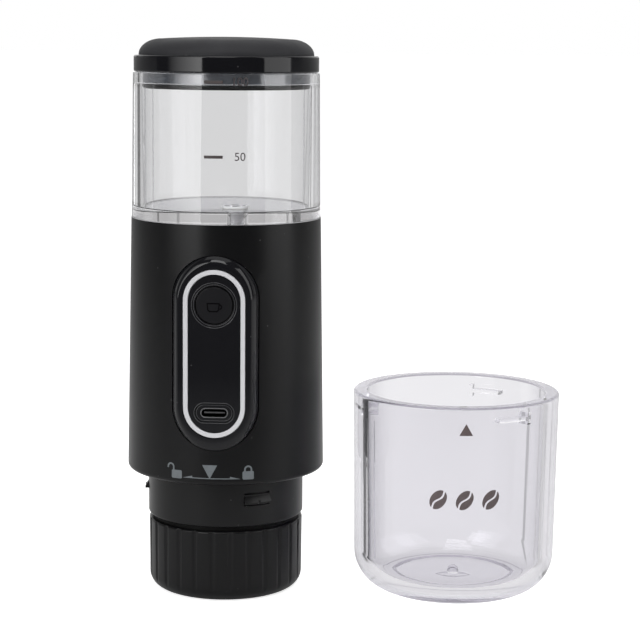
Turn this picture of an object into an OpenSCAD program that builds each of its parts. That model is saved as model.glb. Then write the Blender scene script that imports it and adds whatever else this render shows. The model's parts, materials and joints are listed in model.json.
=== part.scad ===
// Portable espresso maker: a lidded clear water tank on a tapered body with a
// control pod, a battery pump inside, a brew collar with a screw-in coffee
// holder below, and the clear bayonet cup standing beside it.
// Units are millimetres. The machine stands on z = 0 and its panel faces -Y.

/* [Body] */
// Radius of the body at its foot
body_base_r = 33; // [32.6:0.1:34.4]
// Radius of the body where it meets the tank
body_top_r = 31.5; // [31.2:0.1:32.6]
// Height of one battery cell, which sets the height of the body
cell_h = 65; // [60:0.5:72]
// Room between the cells and the deck above them
cell_room = 5.8; // [4.5:0.1:12]
// Wall of the body
body_wall = 2.3; // [1.8:0.1:2.6]
// Rounding of the lower edge of the body
body_edge_r = 1.5; // [0.4:0.1:1.7]

/* [Water tank] */
// Height of the tank above the body
tank_h = 47.7; // [40:0.1:70]
// Outer radius of the tank at its foot
tank_base_r = 31.3; // [30.6:0.1:31.5]
// Outer radius of the tank at its mouth
tank_top_r = 30.75; // [30.2:0.05:31.3]
// Radius of the bore at the mouth
tank_bore_r = 28.1; // [27.2:0.1:28.6]
// Narrowing of the bore from the mouth to the floor
tank_draft = 0.5; // [0:0.1:1]
// Thickness of the tank floor
tank_floor = 3.6; // [2.4:0.1:5]
// Distance of the outlet to the right of the axis
outlet_x = 4; // [3.8:0.1:5]
// Distance of the outlet in front of the axis
outlet_front = 10; // [9:0.1:10.5]

/* [Lid] */
// Radius of the gloss ring of the lid
lid_ring_r = 30.5; // [30:0.1:31.5]
// Height of the gloss ring
lid_ring_h = 5.5; // [4.5:0.1:9]
// Depth of the plug below the ring
plug_h = 5.3; // [4.2:0.1:9]
// Radius of the soft dome at its foot
dome_r = 28.9; // [27:0.1:29.5]
// Height of the dome above the ring
dome_h = 6; // [3:0.1:9]

/* [Control pod] */
// Height of the middle of the pod above the foot of the body
pod_up = 43.1; // [42.2:0.1:46]
// Width of the pod where it meets the body
pod_w = 28.1; // [26.6:0.1:30]
// Height of the pod where it meets the body
pod_h = 63; // [61:0.1:66]
// Rise of the flat face above the body
pod_rise = 1.1; // [0.6:0.1:2]
// Outer width of the light ring
ring_w = 20; // [19.6:0.1:21.4]
// Outer height of the light ring
ring_h = 54.4; // [52:0.1:55.6]
// Thickness of the light ring
ring_t = 1.5; // [1:0.1:1.6]
// Radius of the start button
button_r = 5.9; // [4.5:0.1:6]
// Height of the button above the middle of the pod
button_up = 15.8; // [14.5:0.1:17]
// Travel of the button
button_travel = 0.7; // [0.3:0.1:0.8]
// Depth of the charging port below the middle of the pod
port_down = 19.1; // [17.5:0.1:20]

/* [Brew collar] */
// Outer radius of the collar
collar_r = 26.1; // [25.4:0.1:26.5]
// Height of the collar below the body
collar_h = 15.5; // [14.4:0.1:20]
// Rise of the bayonet lugs
lug_rise = 1.2; // [0.6:0.1:1.5]
// Angle that one lug spans
lug_span = 20; // [10:1:30]

/* [Coffee holder] */
// Height of the ribbed grip
grip_h = 24; // [22:0.1:32]
// Radius of the grip at its upper edge
grip_top_r = 25.9; // [25:0.1:26.4]
// Radius of the grip at its foot
grip_base_r = 25.7; // [25:0.1:26.2]
// Rounding of the foot of the grip
grip_edge_r = 4.9; // [3:0.1:6]
// Number of flutes round the grip
flute_count = 27; // [18:1:36]
// Depth of one flute
flute_depth = 0.45; // [0.2:0.05:0.8]
// Open gap between grip and collar
seam_gap = 1.7; // [1.6:0.1:3]
// Radius of the neck that screws into the collar
neck_r = 22.8; // [22.4:0.1:23]
// Height of the neck above the grip
neck_h = 11.5; // [10.5:0.1:11.6]

/* [Cup] */
// Distance of the cup to the right of the machine
cup_x = 77.5; // [70:0.1:110]
// Distance of the cup behind the machine axis
cup_y = 3.9; // [-20:0.1:20]
// Height of the cup
cup_h = 68; // [60:0.1:80]
// Outer radius at the rim
cup_rim_r = 34.5; // [33.8:0.1:36]
// Outer radius above the rounded foot
cup_foot_r = 33.6; // [33:0.1:34.4]
// Wall of the cup at the rim
cup_wall = 4.85; // [4:0.05:5.2]
// Rounding of the outer foot
cup_edge_r = 13; // [9:0.1:16]
// Thickness of the cup floor
cup_floor = 4.8; // [3.5:0.1:7]

/* [Hidden] */
$fn = 96;
// Clearance between pieces that are fixed together
fit = 0.1;
// Clearance between pieces that move past each other
slip = 0.3;
// Clearance round a turning shaft
run_gap = 0.05;
// Overlap of solids that are joined into one moulding
bite = 0.3;

// Levels from the table upwards
z_collar = grip_h + seam_gap;
z_body = z_collar + collar_h;
cup_rebate = 1.5;
flange_t = 3;
chassis_t = 2;
z_flange = z_body + cup_rebate;
z_chassis = z_flange + flange_t;
z_inside = z_chassis + chassis_t;
tab_t = 0.3;
z_cell = z_inside + tab_t + fit;
spigot_h = 3;
gasket_t = 0.6;
deck_t = 3;
z_deck = z_cell + cell_h + cell_room;
z_gasket = z_deck + deck_t;
z_spigot = z_gasket + gasket_t;
z_tank = z_spigot + spigot_h;
body_h = z_tank - z_body;
z_lid = z_tank + tank_h;
z_dome = z_lid + lid_ring_h;
z_floor = z_tank + tank_floor;
z_pod = z_body + pod_up;

function body_r(z) = body_base_r + (body_top_r - body_base_r) * (z - z_body) / body_h;
// Largest radius of a piece inside the body at level z
function inside_r(z) = body_r(z) - body_wall - fit;
// Points of an elliptic arc
function arc(c, rx, ry, from, to, steps = 8) =
    [for (i = [0:steps]) let (a = from + (to - from) * i / steps)
        [c.x + rx * cos(a), c.y + ry * sin(a)]];

// Pod levels, measured outwards from its flat face
pod_face = body_r(z_pod) + pod_rise;
pod_flank = 2.35;
bezel_back = -6.7;
ring_back = -4;
panel_face = -0.2;
panel_back = -2.4;
tray_back = -5.6;
board_face = -7.6;
board_t = 1.6;
skirt_w = ring_w - 2 * ring_t - 2 * fit;
skirt_h = ring_h - 2 * ring_t - 2 * fit;
skirt_t = 1.4;
port_recess = 0.5;
port_rim_w = 13;
port_rim_h = 6.6;
port_w = 8.94;
port_h = 3.26;
port_fit = 0.13;
port_seal_w = port_rim_w - 0.6;
port_seal_h = port_rim_h;
board_w = ring_w - 1.4;
board_h = ring_h - 3.4;
display_w = 0.38 * ring_w;
display_h = 14;
display_t = 2;
// Back of the button's stem and length of the switch plunger on it
stem_back = -4.6;
plunger_len = 1.1;
switch_pin_r = 1.5;

// Lid
lid_gap = 0.1;
lid_web = 2.2;
z_web = z_lid + lid_web;
dome_spigot_r = dome_r - 2.6;
dome_corner = [7.5, 0.88 * dome_h];
z_plug = z_lid - plug_h;
plug_r = tank_bore_r - 0.5;
seal_h = 1.5;
seal_land = 1.8;
mouth_step = 0.4;
mouth_depth = 3.5;
bore_foot_r = tank_bore_r - tank_draft;
spigot_in_r = tank_bore_r - 1.5;

// Tank outlet and hoses
outlet = [outlet_x, -outlet_front];
stem_r = 2.6;
stem_bore = 1.5;
hose_t = 1.25;
outlet_flange_r = 4.2;
washer_t = 0.3;
outlet_flange_t = 0.5;
nut_h = 3;
stem_drop = 7;

// Brew chamber
bore_r = neck_r + slip;
z_neck = grip_h + neck_h;
basket_flange_t = 0.8;
z_brew = z_neck + basket_flange_t + slip;
brew_seal_t = 2;
z_shower = z_brew + brew_seal_t;
cavity_r = neck_r - 3.2;
basket_r = cavity_r - 0.3;
basket_wall = 0.6;
basket_flange_r = basket_r + 2.6;
grip_floor = 6.5;
foot_recess = 1.5;
foot_in_r = 13;
spout_r = 4;
spout_bore = 2;
spout_flange_r = 8;
spout_flange_t = 1.2;
z_basket = grip_floor + spout_flange_t + 1.3;
screen_t = 0.6;
z_lug = z_body - 7.9;
lug_h = 3.1;
slot_h = 0.7;
lug_bearings = [30, 150, 270];

// Pump and drive
motor_axis = [-12.5, -8];
motor_r = 12;
motor_h = 31;
shaft_r = 1.15;
cam_r = 4;
cam_throw = 1.2;
cam_h = 7;
race_r = 6.5;
race_h = 5;
frame_t = 2.4;
block_h = 16;
z_frame = z_inside + 13;
z_block = z_frame + frame_t + fit;
z_frame_top = z_block + block_h + fit;
z_motor = z_frame_top + frame_t + fit;
z_cam = z_block + block_h / 2;
plunger_r = 2.2;
foot_t = 1.2;
foot_r = 4;
x_foot = motor_axis.x + cam_throw + race_r + slip;
block_x0 = x_foot + foot_t + 3.1;
block_len = 12;
block_w = 12;
brew_feed = [8, -10];
frame_back = 4.2;
frame_left = -24;
frame_right = 12;

// Battery and chassis
web_y = frame_back + fit;
web_t = 1.4;
web_half = 20;
cell_r = 9.15;
cell_x = 10;
cell_y = 15.2;
saddle_end = 14;
saddle_t = 3;
saddle_reach = 7;
screw_r = 1.2;
screw_head_r = 2.2;
screw_head_h = 1.6;
screw_ring_r = 27.2;

// Cup
cup_bore_r = cup_rim_r - cup_wall;
cup_in_r = cup_foot_r - cup_wall;
cup_in_edge = 7.4;
rim_round = 1;
rib_in = 3.1;
rib_t = 1.2;
stop_h = 4;
rib_span = 22;
rib_down = 5.3;
rib_bearings = [37.6, 157.6, 277.6];

// Piece to show

// Upright stadium, width first
module stadium(w, h) {
    square([w, h - w], center = true);
    for (s = [-1, 1]) translate([0, s * (h - w) / 2]) circle(d = w);
}

// Lying stadium
module slot(w, h) {
    rotate(90) stadium(h, w);
}

// Stands its children on the flat face of the pod, z outwards
module on_pod() {
    translate([0, -pod_face, z_pod]) rotate([90, 0, 0]) children();
}

// Extrudes a pod outline between two levels
module pod_slab(from, to) {
    on_pod() translate([0, 0, from]) linear_extrude(to - from) children();
}

// Turns a half profile through part of a circle; bearing runs from -Y towards +X
module sector(bearing, span) {
    rotate([0, 0, bearing - 90 - span / 2]) rotate_extrude(angle = span) children();
}

// Rectangle of a half profile
module half_box(r0, r1, z0, z1) {
    polygon([[r0, z0], [r1, z0], [r1, z1], [r0, z1]]);
}

// Tube standing on z0
module tube(r_out, r_in, z0, z1) {
    translate([0, 0, z0]) difference() {
        cylinder(r = r_out, h = z1 - z0);
        translate([0, 0, -1]) cylinder(r = r_in, h = z1 - z0 + 2);
    }
}

// Lid

module lid_dome() {
    z0 = z_dome + run_gap;
    flat_r = dome_r - dome_corner.x;
    crown = dome_h - dome_corner.y - run_gap;
    color([0.13, 0.14, 0.15]) rotate_extrude() polygon(concat(
        [[0, z_web + fit], [dome_spigot_r, z_web + fit], [dome_spigot_r, z0]],
        arc([flat_r, z0], dome_corner.x, dome_corner.y, 0, 90, 10),
        [for (i = [1:6]) let (r = flat_r * (1 - i / 6))
            [r, z0 + dome_corner.y + crown * (1 - pow(r / flat_r, 2))]]));
}

module lid_ring() {
    z0 = z_lid + lid_gap;
    edge = 0.5;
    color([0.03, 0.03, 0.035]) rotate_extrude() polygon([[0, z0], [lid_ring_r - edge, z0],
        [lid_ring_r, z0 + edge], [lid_ring_r, z_dome - edge], [lid_ring_r - edge, z_dome],
        [dome_spigot_r + fit, z_dome], [dome_spigot_r + fit, z_web], [0, z_web]]);
}

module lid_plug() {
    hollow_r = plug_r - 5;
    hollow_h = plug_h - 1.6;
    color([0.2, 0.23, 0.27]) rotate_extrude() polygon([[0, z_plug + hollow_h],
        [hollow_r, z_plug + hollow_h], [hollow_r, z_plug], [plug_r - seal_land, z_plug],
        [plug_r - seal_land, z_plug + seal_h], [plug_r, z_plug + seal_h],
        [plug_r, z_lid + lid_gap], [0, z_lid + lid_gap]]);
}

module lid_seal() {
    lip_r = tank_bore_r - tank_draft * plug_h / tank_h - 0.25;
    color([0.04, 0.04, 0.045]) rotate_extrude() polygon([
        [plug_r - seal_land + run_gap, z_plug + run_gap], [lip_r - 0.5, z_plug + run_gap],
        [lip_r, z_plug + seal_h / 2], [lip_r - 0.2, z_plug + seal_h - run_gap],
        [plug_r - seal_land + run_gap, z_plug + seal_h - run_gap]]);
}

// Water tank and its outlet

module water_tank() {
    foot_edge = 0.5;
    corner = 1.2;
    spigot_r = inside_r(z_tank);
    color([0.86, 0.9, 0.93, 0.35]) difference() {
        rotate_extrude() polygon(concat(
            [[0, z_tank], [spigot_in_r, z_tank], [spigot_in_r, z_spigot], [spigot_r, z_spigot],
             [spigot_r, z_tank], [tank_base_r - foot_edge, z_tank],
             [tank_base_r, z_tank + foot_edge], [tank_top_r, z_lid],
             [tank_bore_r + mouth_step, z_lid], [tank_bore_r + mouth_step, z_lid - mouth_depth],
             [tank_bore_r, z_lid - mouth_depth]],
            arc([bore_foot_r - corner, z_floor + corner], corner, corner, 0, -90, 5),
            [[0, z_floor]]));
        translate([outlet.x, outlet.y, z_tank - 1])
            cylinder(r = stem_r + fit, h = tank_floor + 2);
    }
}

module tank_gasket() {
    color([0.1, 0.1, 0.1]) tube(inside_r(z_tank), spigot_in_r, z_gasket, z_spigot);
}

module outlet_fitting() {
    z0 = z_floor + washer_t;
    color([0.82, 0.84, 0.86]) translate([outlet.x, outlet.y, 0]) difference() {
        union() {
            translate([0, 0, z0]) cylinder(r = outlet_flange_r, h = outlet_flange_t);
            translate([0, 0, z_deck - stem_drop]) cylinder(r = stem_r, h = z0 - z_deck + stem_drop + bite);
        }
        translate([0, 0, z_deck - stem_drop - 1])
            cylinder(r = stem_bore, h = z0 - z_deck + stem_drop + outlet_flange_t + 2);
    }
}

module outlet_washer() {
    color([0.9, 0.9, 0.9]) translate([outlet.x, outlet.y, 0])
        tube(outlet_flange_r, stem_r + fit, z_floor, z_floor + washer_t);
}

module outlet_nut() {
    across = 5.2;
    color([0.82, 0.84, 0.86]) translate([outlet.x, outlet.y, z_deck - nut_h]) difference() {
        cylinder(r = across, h = nut_h, $fn = 6);
        translate([0, 0, -1]) cylinder(r = stem_r + run_gap, h = nut_h + 2);
    }
}

module tank_strainer() {
    cap_r = 3.4;
    cap_h = 0.3;
    hole_r = 0.28;
    hole_ring = 0.95;
    z0 = z_floor + washer_t + outlet_flange_t;
    color([0.75, 0.76, 0.78]) translate([outlet.x, outlet.y, z0]) difference() {
        cylinder(r = cap_r, h = cap_h);
        translate([0, 0, -1]) cylinder(r = hole_r, h = cap_h + 2);
        for (i = [0:7]) rotate(i * 45) translate([hole_ring, 0, -1])
            cylinder(r = hole_r, h = cap_h + 2);
    }
}

module inlet_hose() {
    color([0.9, 0.9, 0.88, 0.8]) translate([outlet.x, outlet.y, 0])
        tube(stem_r + run_gap + hose_t, stem_r + run_gap, z_motor + fit, z_deck - nut_h - fit);
}

// Body

module body_shell() {
    ledge = 1.2;
    ledge_h = 1.5;
    ledge_r = body_r(z_deck) - body_wall - ledge;
    foot_c = body_r(z_body + body_edge_r) - body_edge_r;
    color([0.05, 0.05, 0.055]) difference() {
        rotate_extrude() polygon(concat(
            arc([foot_c, z_body + body_edge_r], body_edge_r, body_edge_r, -90, 0, 6),
            [[body_top_r, z_tank], [body_top_r - body_wall, z_tank],
             [body_r(z_deck) - body_wall, z_deck], [ledge_r, z_deck],
             [ledge_r, z_deck - ledge_h],
             [body_r(z_deck - ledge_h) - body_wall, z_deck - ledge_h],
             [body_base_r - body_wall, z_body]]));
        pod_slab(-body_base_r / 2, 10) stadium(pod_w + 2 * fit, pod_h + 2 * fit);
    }
}

module top_deck() {
    color([0.08, 0.08, 0.085]) difference() {
        translate([0, 0, z_deck]) cylinder(r = inside_r(z_gasket), h = deck_t);
        translate([outlet.x, outlet.y, z_deck - 1]) cylinder(r = stem_r + fit, h = deck_t + 2);
    }
}

// Control pod

module panel_bezel() {
    color([0.02, 0.02, 0.025]) difference() {
        hull() {
            pod_slab(-0.2, 0) stadium(pod_w - 2 * pod_flank * 1.0, pod_h - 2 * pod_flank * 1.1, $fn = 48);
            intersection() {
                pod_slab(bezel_back, 3) stadium(pod_w, pod_h, $fn = 64);
                translate([0, 0, z_body]) cylinder(r1 = body_base_r, r2 = body_top_r, h = body_h, $fn = 180);
            }
        }
        pod_slab(bezel_back - 1, 1) stadium(ring_w + 2 * fit, ring_h + 2 * fit);
    }
}

module light_ring() {
    color([0.95, 0.96, 0.97]) pod_slab(ring_back, 0) difference() {
        stadium(ring_w, ring_h);
        stadium(ring_w - 2 * ring_t, ring_h - 2 * ring_t);
    }
}

module control_panel() {
    dish = 1.35;
    post_r = 1.2;
    post_x = 5.3;
    post_up = 9.4;
    color([0.015, 0.016, 0.02]) difference() {
        union() {
            pod_slab(panel_back, panel_face) stadium(skirt_w, skirt_h);
            pod_slab(tray_back, panel_back + bite) difference() {
                stadium(skirt_w, skirt_h);
                stadium(skirt_w - 2 * skirt_t, skirt_h - 2 * skirt_t);
            }
            pod_slab(tray_back, ring_back - fit) difference() {
                stadium(ring_w - fit, ring_h - fit);
                stadium(skirt_w - 2 * skirt_t, skirt_h - 2 * skirt_t);
            }
            for (x = [-1, 1], y = [-1, 1]) on_pod() translate([x * post_x, y * post_up, board_face + run_gap])
                cylinder(r = post_r, h = panel_back - board_face);
        }
        on_pod() translate([0, button_up, panel_back - 1])
            cylinder(r = button_r + slip, h = 4);
        on_pod() translate([0, button_up, panel_face - 0.5])
            cylinder(r1 = button_r + slip, r2 = button_r + dish + 0.05, h = 0.55);
        on_pod() translate([0, -port_down, panel_face - port_recess])
            linear_extrude(2) slot(port_rim_w, port_rim_h);
        on_pod() translate([0, -port_down, panel_back - 1])
            linear_extrude(4) slot(port_w + 2 * port_fit, port_h + 2 * port_fit);
    }
}

module start_button() {
    lip = 0.8;
    stem = 2;
    color([0.02, 0.02, 0.025]) on_pod() translate([0, button_up, 0]) {
        translate([0, 0, -3.6]) cylinder(r = button_r, h = 3.3);
        translate([0, 0, -3.4]) cylinder(r = button_r + lip, h = 0.65);
        translate([0, 0, stem_back]) cylinder(r = stem, h = 1.2);
    }
}

module switch_plunger() {
    color([0.15, 0.15, 0.15]) on_pod() translate([0, button_up, stem_back - plunger_len])
        cylinder(r = switch_pin_r, h = plunger_len);
}

module tact_switch() {
    side = 6;
    top = stem_back - button_travel - 0.2;
    color([0.3, 0.3, 0.32]) on_pod() translate([0, button_up, 0]) difference() {
        translate([-side / 2, -side / 2, board_face]) cube([side, side, top - board_face]);
        translate([0, 0, stem_back - plunger_len - button_travel - 0.2])
            cylinder(r = switch_pin_r + slip, h = 3);
    }
}

module display_module() {
    color([0.05, 0.06, 0.09]) on_pod() translate([-display_w / 2, -display_h / 2, panel_back - display_t - run_gap])
        cube([display_w, display_h, display_t]);
}

module usb_port() {
    shell_t = 0.3;
    tongue = [6.7, 0.7];
    mouth = panel_face - port_recess;
    color([0.75, 0.76, 0.78]) on_pod() translate([0, -port_down, 0]) {
        translate([0, 0, board_face]) linear_extrude(mouth - board_face) difference() {
            slot(port_w, port_h);
            slot(port_w - 2 * shell_t, port_h - 2 * shell_t);
        }
        translate([0, 0, board_face]) linear_extrude(0.8) slot(port_w - shell_t, port_h - shell_t);
        translate([-tongue.x / 2, -tongue.y / 2, board_face + 0.5])
            cube([tongue.x, tongue.y, mouth - board_face - 1.3]);
    }
}

module usb_gasket() {
    color([0.12, 0.12, 0.12]) on_pod() translate([0, -port_down, panel_back - 2.1]) linear_extrude(2.05)
        difference() {
            slot(port_seal_w, port_seal_h);
            slot(port_w + 2 * port_fit, port_h + 2 * port_fit);
        }
}

module circuit_board() {
    color([0.05, 0.25, 0.14]) pod_slab(board_face - board_t, board_face) square([board_w, board_h], center = true);
}

// Chassis and battery

module chassis() {
    color([0.22, 0.23, 0.25]) difference() {
        union() {
            translate([0, 0, z_chassis]) cylinder(r = inside_r(z_inside), h = chassis_t);
            translate([-web_half, web_y, z_inside - bite])
                cube([2 * web_half, web_t, z_deck - z_inside + bite - 0.2]);
            for (z = [saddle_end, cell_h - saddle_end - saddle_t]) translate([-web_half, web_y + web_t - bite, z_inside + z])
                cube([2 * web_half, saddle_reach + bite, saddle_t]);
        }
        for (s = [-1, 1]) translate([s * cell_x, cell_y, z_inside]) cylinder(r = cell_r + slip, h = cell_h + 10);
        translate([brew_feed.x, brew_feed.y, z_chassis - 1]) cylinder(r = stem_r + slip, h = chassis_t + 2);
        for (a = [90, 210, 330]) rotate(a) translate([screw_ring_r, 0, z_chassis - 1])
            cylinder(r = screw_r + fit, h = chassis_t + 2);
    }
}

module battery_cells() {
    nub_r = 2.8;
    color([0.1, 0.3, 0.62]) for (s = [-1, 1]) translate([s * cell_x, cell_y, 0]) {
        translate([0, 0, z_cell]) rotate_extrude() polygon([[0, 0], [cell_r, 0], [cell_r, cell_h - 2.6],
            [cell_r - 0.5, cell_h - 2.1], [cell_r, cell_h - 1.6], [cell_r, cell_h - 0.6],
            [nub_r, cell_h - 0.6], [nub_r, cell_h], [0, cell_h]]);
    }
}

module battery_tabs() {
    tab = 7;
    color([0.78, 0.78, 0.76]) {
        for (s = [-1, 1]) translate([s * cell_x - tab / 2, cell_y - tab / 2, z_inside + run_gap])
            cube([tab, tab, tab_t]);
        translate([-cell_x - tab / 2, cell_y - tab / 2, z_cell + cell_h + run_gap])
            cube([2 * cell_x + tab, tab, tab_t]);
    }
}

// Pump and drive

module pump_motor() {
    boss_r = 3.2;
    edge = 0.8;
    color([0.68, 0.69, 0.71]) translate([motor_axis.x, motor_axis.y, 0]) difference() {
        rotate_extrude() polygon([[0, z_frame_top + fit], [boss_r, z_frame_top + fit], [boss_r, z_motor],
            [motor_r - edge, z_motor], [motor_r, z_motor + edge], [motor_r, z_motor + motor_h - edge],
            [motor_r - edge, z_motor + motor_h], [5, z_motor + motor_h], [5, z_motor + motor_h + 1.5],
            [0, z_motor + motor_h + 1.5]]);
        translate([0, 0, z_frame_top - 1]) cylinder(r = shaft_r + run_gap, h = motor_h / 2);
    }
}

module motor_shaft() {
    color([0.8, 0.81, 0.82]) translate([motor_axis.x, motor_axis.y, z_cam - cam_h / 2 - 1])
        cylinder(r = shaft_r, h = z_motor + motor_h / 3 - z_cam + cam_h / 2 + 1);
}

module eccentric_cam() {
    color([0.72, 0.6, 0.35]) translate([motor_axis.x, motor_axis.y, z_cam - cam_h / 2]) difference() {
        union() {
            translate([cam_throw, 0, 0]) cylinder(r = cam_r, h = cam_h);
            translate([cam_throw, 0, 0]) cylinder(r = cam_r + 0.8, h = 0.9);
        }
        translate([0, 0, -1]) cylinder(r = shaft_r + run_gap, h = cam_h + 2);
    }
}

module cam_bearing() {
    color([0.78, 0.79, 0.8]) translate([motor_axis.x + cam_throw, motor_axis.y, 0])
        tube(race_r, cam_r + run_gap, z_cam - race_h / 2, z_cam + race_h / 2);
}

module pump_plunger() {
    color([0.85, 0.86, 0.88]) translate([x_foot, motor_axis.y, z_cam]) rotate([0, 90, 0]) {
        cylinder(r = foot_r, h = foot_t);
        cylinder(r = plunger_r, h = foot_t + 6.4);
    }
}

// Return spring between the foot of the plunger and the block
module plunger_spring() {
    wire = 0.32;
    turns = 2.5;
    steps = 30;
    sides = 6;
    mean_r = plunger_r + wire + 0.3;
    lift = block_x0 - x_foot - foot_t - 2 * wire - 0.3;
    rings = [for (i = [0:steps]) let (a = 360 * turns * i / steps)
        for (k = [0:sides - 1]) let (b = 360 * k / sides, r = mean_r + wire * cos(b))
            [r * cos(a), r * sin(a), wire + 0.15 + lift * i / steps + wire * sin(b)]];
    skin = [for (i = [0:steps - 1], k = [0:sides - 1]) let (n = (k + 1) % sides)
        [i * sides + k, (i + 1) * sides + k, (i + 1) * sides + n, i * sides + n]];
    caps = [[for (k = [0:sides - 1]) k], [for (k = [0:sides - 1]) (steps + 1) * sides - 1 - k]];
    color([0.7, 0.71, 0.72]) translate([x_foot + foot_t, motor_axis.y, z_cam]) rotate([0, 90, 0])
        polyhedron(points = rings, faces = concat(skin, caps));
}

module valve_block() {
    channel = 1.3;
    chamber = 4.4;
    barb = 6;
    color([0.88, 0.88, 0.86]) difference() {
        union() {
            translate([block_x0, motor_axis.y - 1 - block_w / 2, z_block]) cube([block_len, block_w, block_h]);
            translate([outlet.x, outlet.y, z_block + block_h - bite]) cylinder(r = stem_r, h = barb + bite);
            translate([brew_feed.x, brew_feed.y, z_block - barb]) cylinder(r = stem_r, h = barb + bite);
        }
        translate([block_x0 - 1, motor_axis.y, z_cam]) rotate([0, 90, 0])
            cylinder(r = plunger_r + run_gap, h = chamber + 1);
        translate([outlet.x, outlet.y, z_cam]) cylinder(r = channel, h = block_h);
        translate([outlet.x - 1, brew_feed.y, z_cam]) rotate([0, 90, 0]) cylinder(r = channel, h = brew_feed.x - outlet.x + 1);
        translate([brew_feed.x, brew_feed.y, z_block - barb - 1]) cylinder(r = channel, h = z_cam - z_block + barb + 1);
    }
}

module pump_frame() {
    front = -15;
    leg_r = 2;
    color([0.3, 0.31, 0.33]) difference() {
        union() {
            translate([frame_left, front, z_frame]) cube([frame_right - frame_left, frame_back - front, frame_t]);
            translate([frame_left, front, z_frame_top]) cube([frame_right - frame_left, frame_back - front, frame_t]);
            translate([frame_left, frame_back - 1.8, z_frame])
                cube([frame_right - frame_left, 1.8, z_frame_top + frame_t - z_frame]);
            for (p = [[-18, -11], [-18, 1], [9, 1]]) translate([p.x, p.y, z_inside])
                cylinder(r = leg_r, h = z_frame - z_inside + bite);
        }
        translate([motor_axis.x, motor_axis.y, z_frame_top - 1]) cylinder(r = 3.5, h = frame_t + 2);
        translate([outlet.x, outlet.y, z_frame_top - 1]) cylinder(r = stem_r + slip, h = frame_t + 2);
        translate([brew_feed.x, brew_feed.y, z_frame - 1]) cylinder(r = stem_r + slip, h = frame_t + 2);
    }
}

module outlet_hose() {
    color([0.9, 0.9, 0.88, 0.8]) translate([brew_feed.x, brew_feed.y, 0])
        tube(stem_r + run_gap + hose_t, stem_r + run_gap, z_inside + fit, z_frame - fit);
}

// Brew collar

module brew_collar() {
    edge = 0.7;
    slot_depth = 1;
    bump_r = 0.6;
    color([0.07, 0.07, 0.075]) difference() {
        union() {
            rotate_extrude() polygon(concat([[0, z_chassis], [0, z_flange], [bore_r, z_flange], [bore_r, z_collar]],
                arc([collar_r - edge, z_collar + edge], edge, edge, -90, 0, 5),
                [[collar_r, z_flange], [inside_r(z_chassis), z_flange], [inside_r(z_chassis), z_chassis]]));
            for (b = lug_bearings) {
                sector(b, lug_span) polygon([[collar_r - bite, z_lug], [collar_r + lug_rise, z_lug],
                    [collar_r + lug_rise, z_lug + 0.6], [collar_r - bite, z_lug + lug_h]]);
                rotate(b - 90 + lug_span * 0.05) translate([collar_r + lug_rise - 0.45, 0, z_lug + bump_r])
                    sphere(r = bump_r);
            }
        }
        for (b = lug_bearings) {
            sector(b, lug_span) half_box(collar_r - slot_depth, collar_r + 3, z_lug - slot_h, z_lug);
            sector(b, lug_span) half_box(collar_r - slot_depth, collar_r + 3, z_lug + lug_h, z_lug + lug_h + slot_h);
        }
        translate([brew_feed.x, brew_feed.y, z_flange - 1]) cylinder(r = stem_r + slip, h = flange_t + 2);
        for (a = [90, 210, 330]) rotate(a) translate([screw_ring_r, 0, z_chassis - 2.5])
            cylinder(r = screw_r + run_gap, h = 5);
    }
}

module collar_screws() {
    color([0.72, 0.73, 0.75]) for (a = [90, 210, 330]) rotate(a) translate([screw_ring_r, 0, 0]) {
        translate([0, 0, z_inside]) cylinder(r = screw_head_r, h = screw_head_h);
        translate([0, 0, z_chassis - 2.3]) cylinder(r = screw_r, h = chassis_t + 2.3 + bite);
    }
}

module shower_plate() {
    hole_r = 0.6;
    gallery_r = 15;
    gallery_h = 1.6;
    skin = 1;
    color([0.78, 0.79, 0.8]) difference() {
        union() {
            translate([0, 0, z_shower]) cylinder(r = bore_r - fit, h = z_flange - z_shower - run_gap);
            translate([brew_feed.x, brew_feed.y, z_flange - bite - run_gap]) cylinder(r = stem_r, h = z_inside - z_flange + 6);
        }
        translate([0, 0, z_shower + skin]) cylinder(r = gallery_r, h = gallery_h);
        translate([brew_feed.x, brew_feed.y, z_shower + skin]) cylinder(r = stem_bore, h = z_inside);
        for (i = [0:5]) rotate(i * 60) {
            translate([6, 0, z_shower - 1]) cylinder(r = hole_r, h = skin + 2);
            rotate(30) translate([11.5, 0, z_shower - 1]) cylinder(r = hole_r, h = skin + 2);
        }
    }
}

module brew_seal() {
    color([0.75, 0.2, 0.16]) tube(basket_flange_r, basket_r - 1.6, z_brew, z_shower);
}

// Coffee holder

module holder_gasket() {
    color([0.04, 0.04, 0.04]) tube(grip_top_r - 1.3, neck_r + slip, grip_h + fit, z_collar - fit);
}

module coffee_holder() {
    edge = 0.6;
    flute_r = 1.3;
    color([0.04, 0.04, 0.045]) difference() {
        rotate_extrude() polygon(concat([[foot_in_r, foot_recess], [foot_in_r, 0]],
            arc([grip_base_r - grip_edge_r, grip_edge_r], grip_edge_r, grip_edge_r, -90, 0, 8),
            [[grip_top_r, grip_h - edge], [grip_top_r - edge, grip_h], [neck_r, grip_h], [neck_r, z_neck],
             [cavity_r, z_neck], [cavity_r, grip_floor], [spout_r + fit, grip_floor],
             [spout_r + fit, foot_recess]]));
        for (i = [0:flute_count - 1]) rotate(360 * i / flute_count)
            translate([grip_top_r + flute_r - flute_depth, 0, 2]) cylinder(r = flute_r, h = grip_h, $fn = 24);
    }
}

module filter_basket() {
    ledge_r = basket_r - 3.5;
    color([0.78, 0.79, 0.8]) rotate_extrude() polygon([[ledge_r, z_basket], [basket_r, z_basket],
        [basket_r, z_neck], [basket_flange_r, z_neck], [basket_flange_r, z_neck + basket_flange_t],
        [basket_r - basket_wall, z_neck + basket_flange_t],
        [basket_r - basket_wall, z_basket + basket_wall], [ledge_r, z_basket + basket_wall]]);
}

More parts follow.
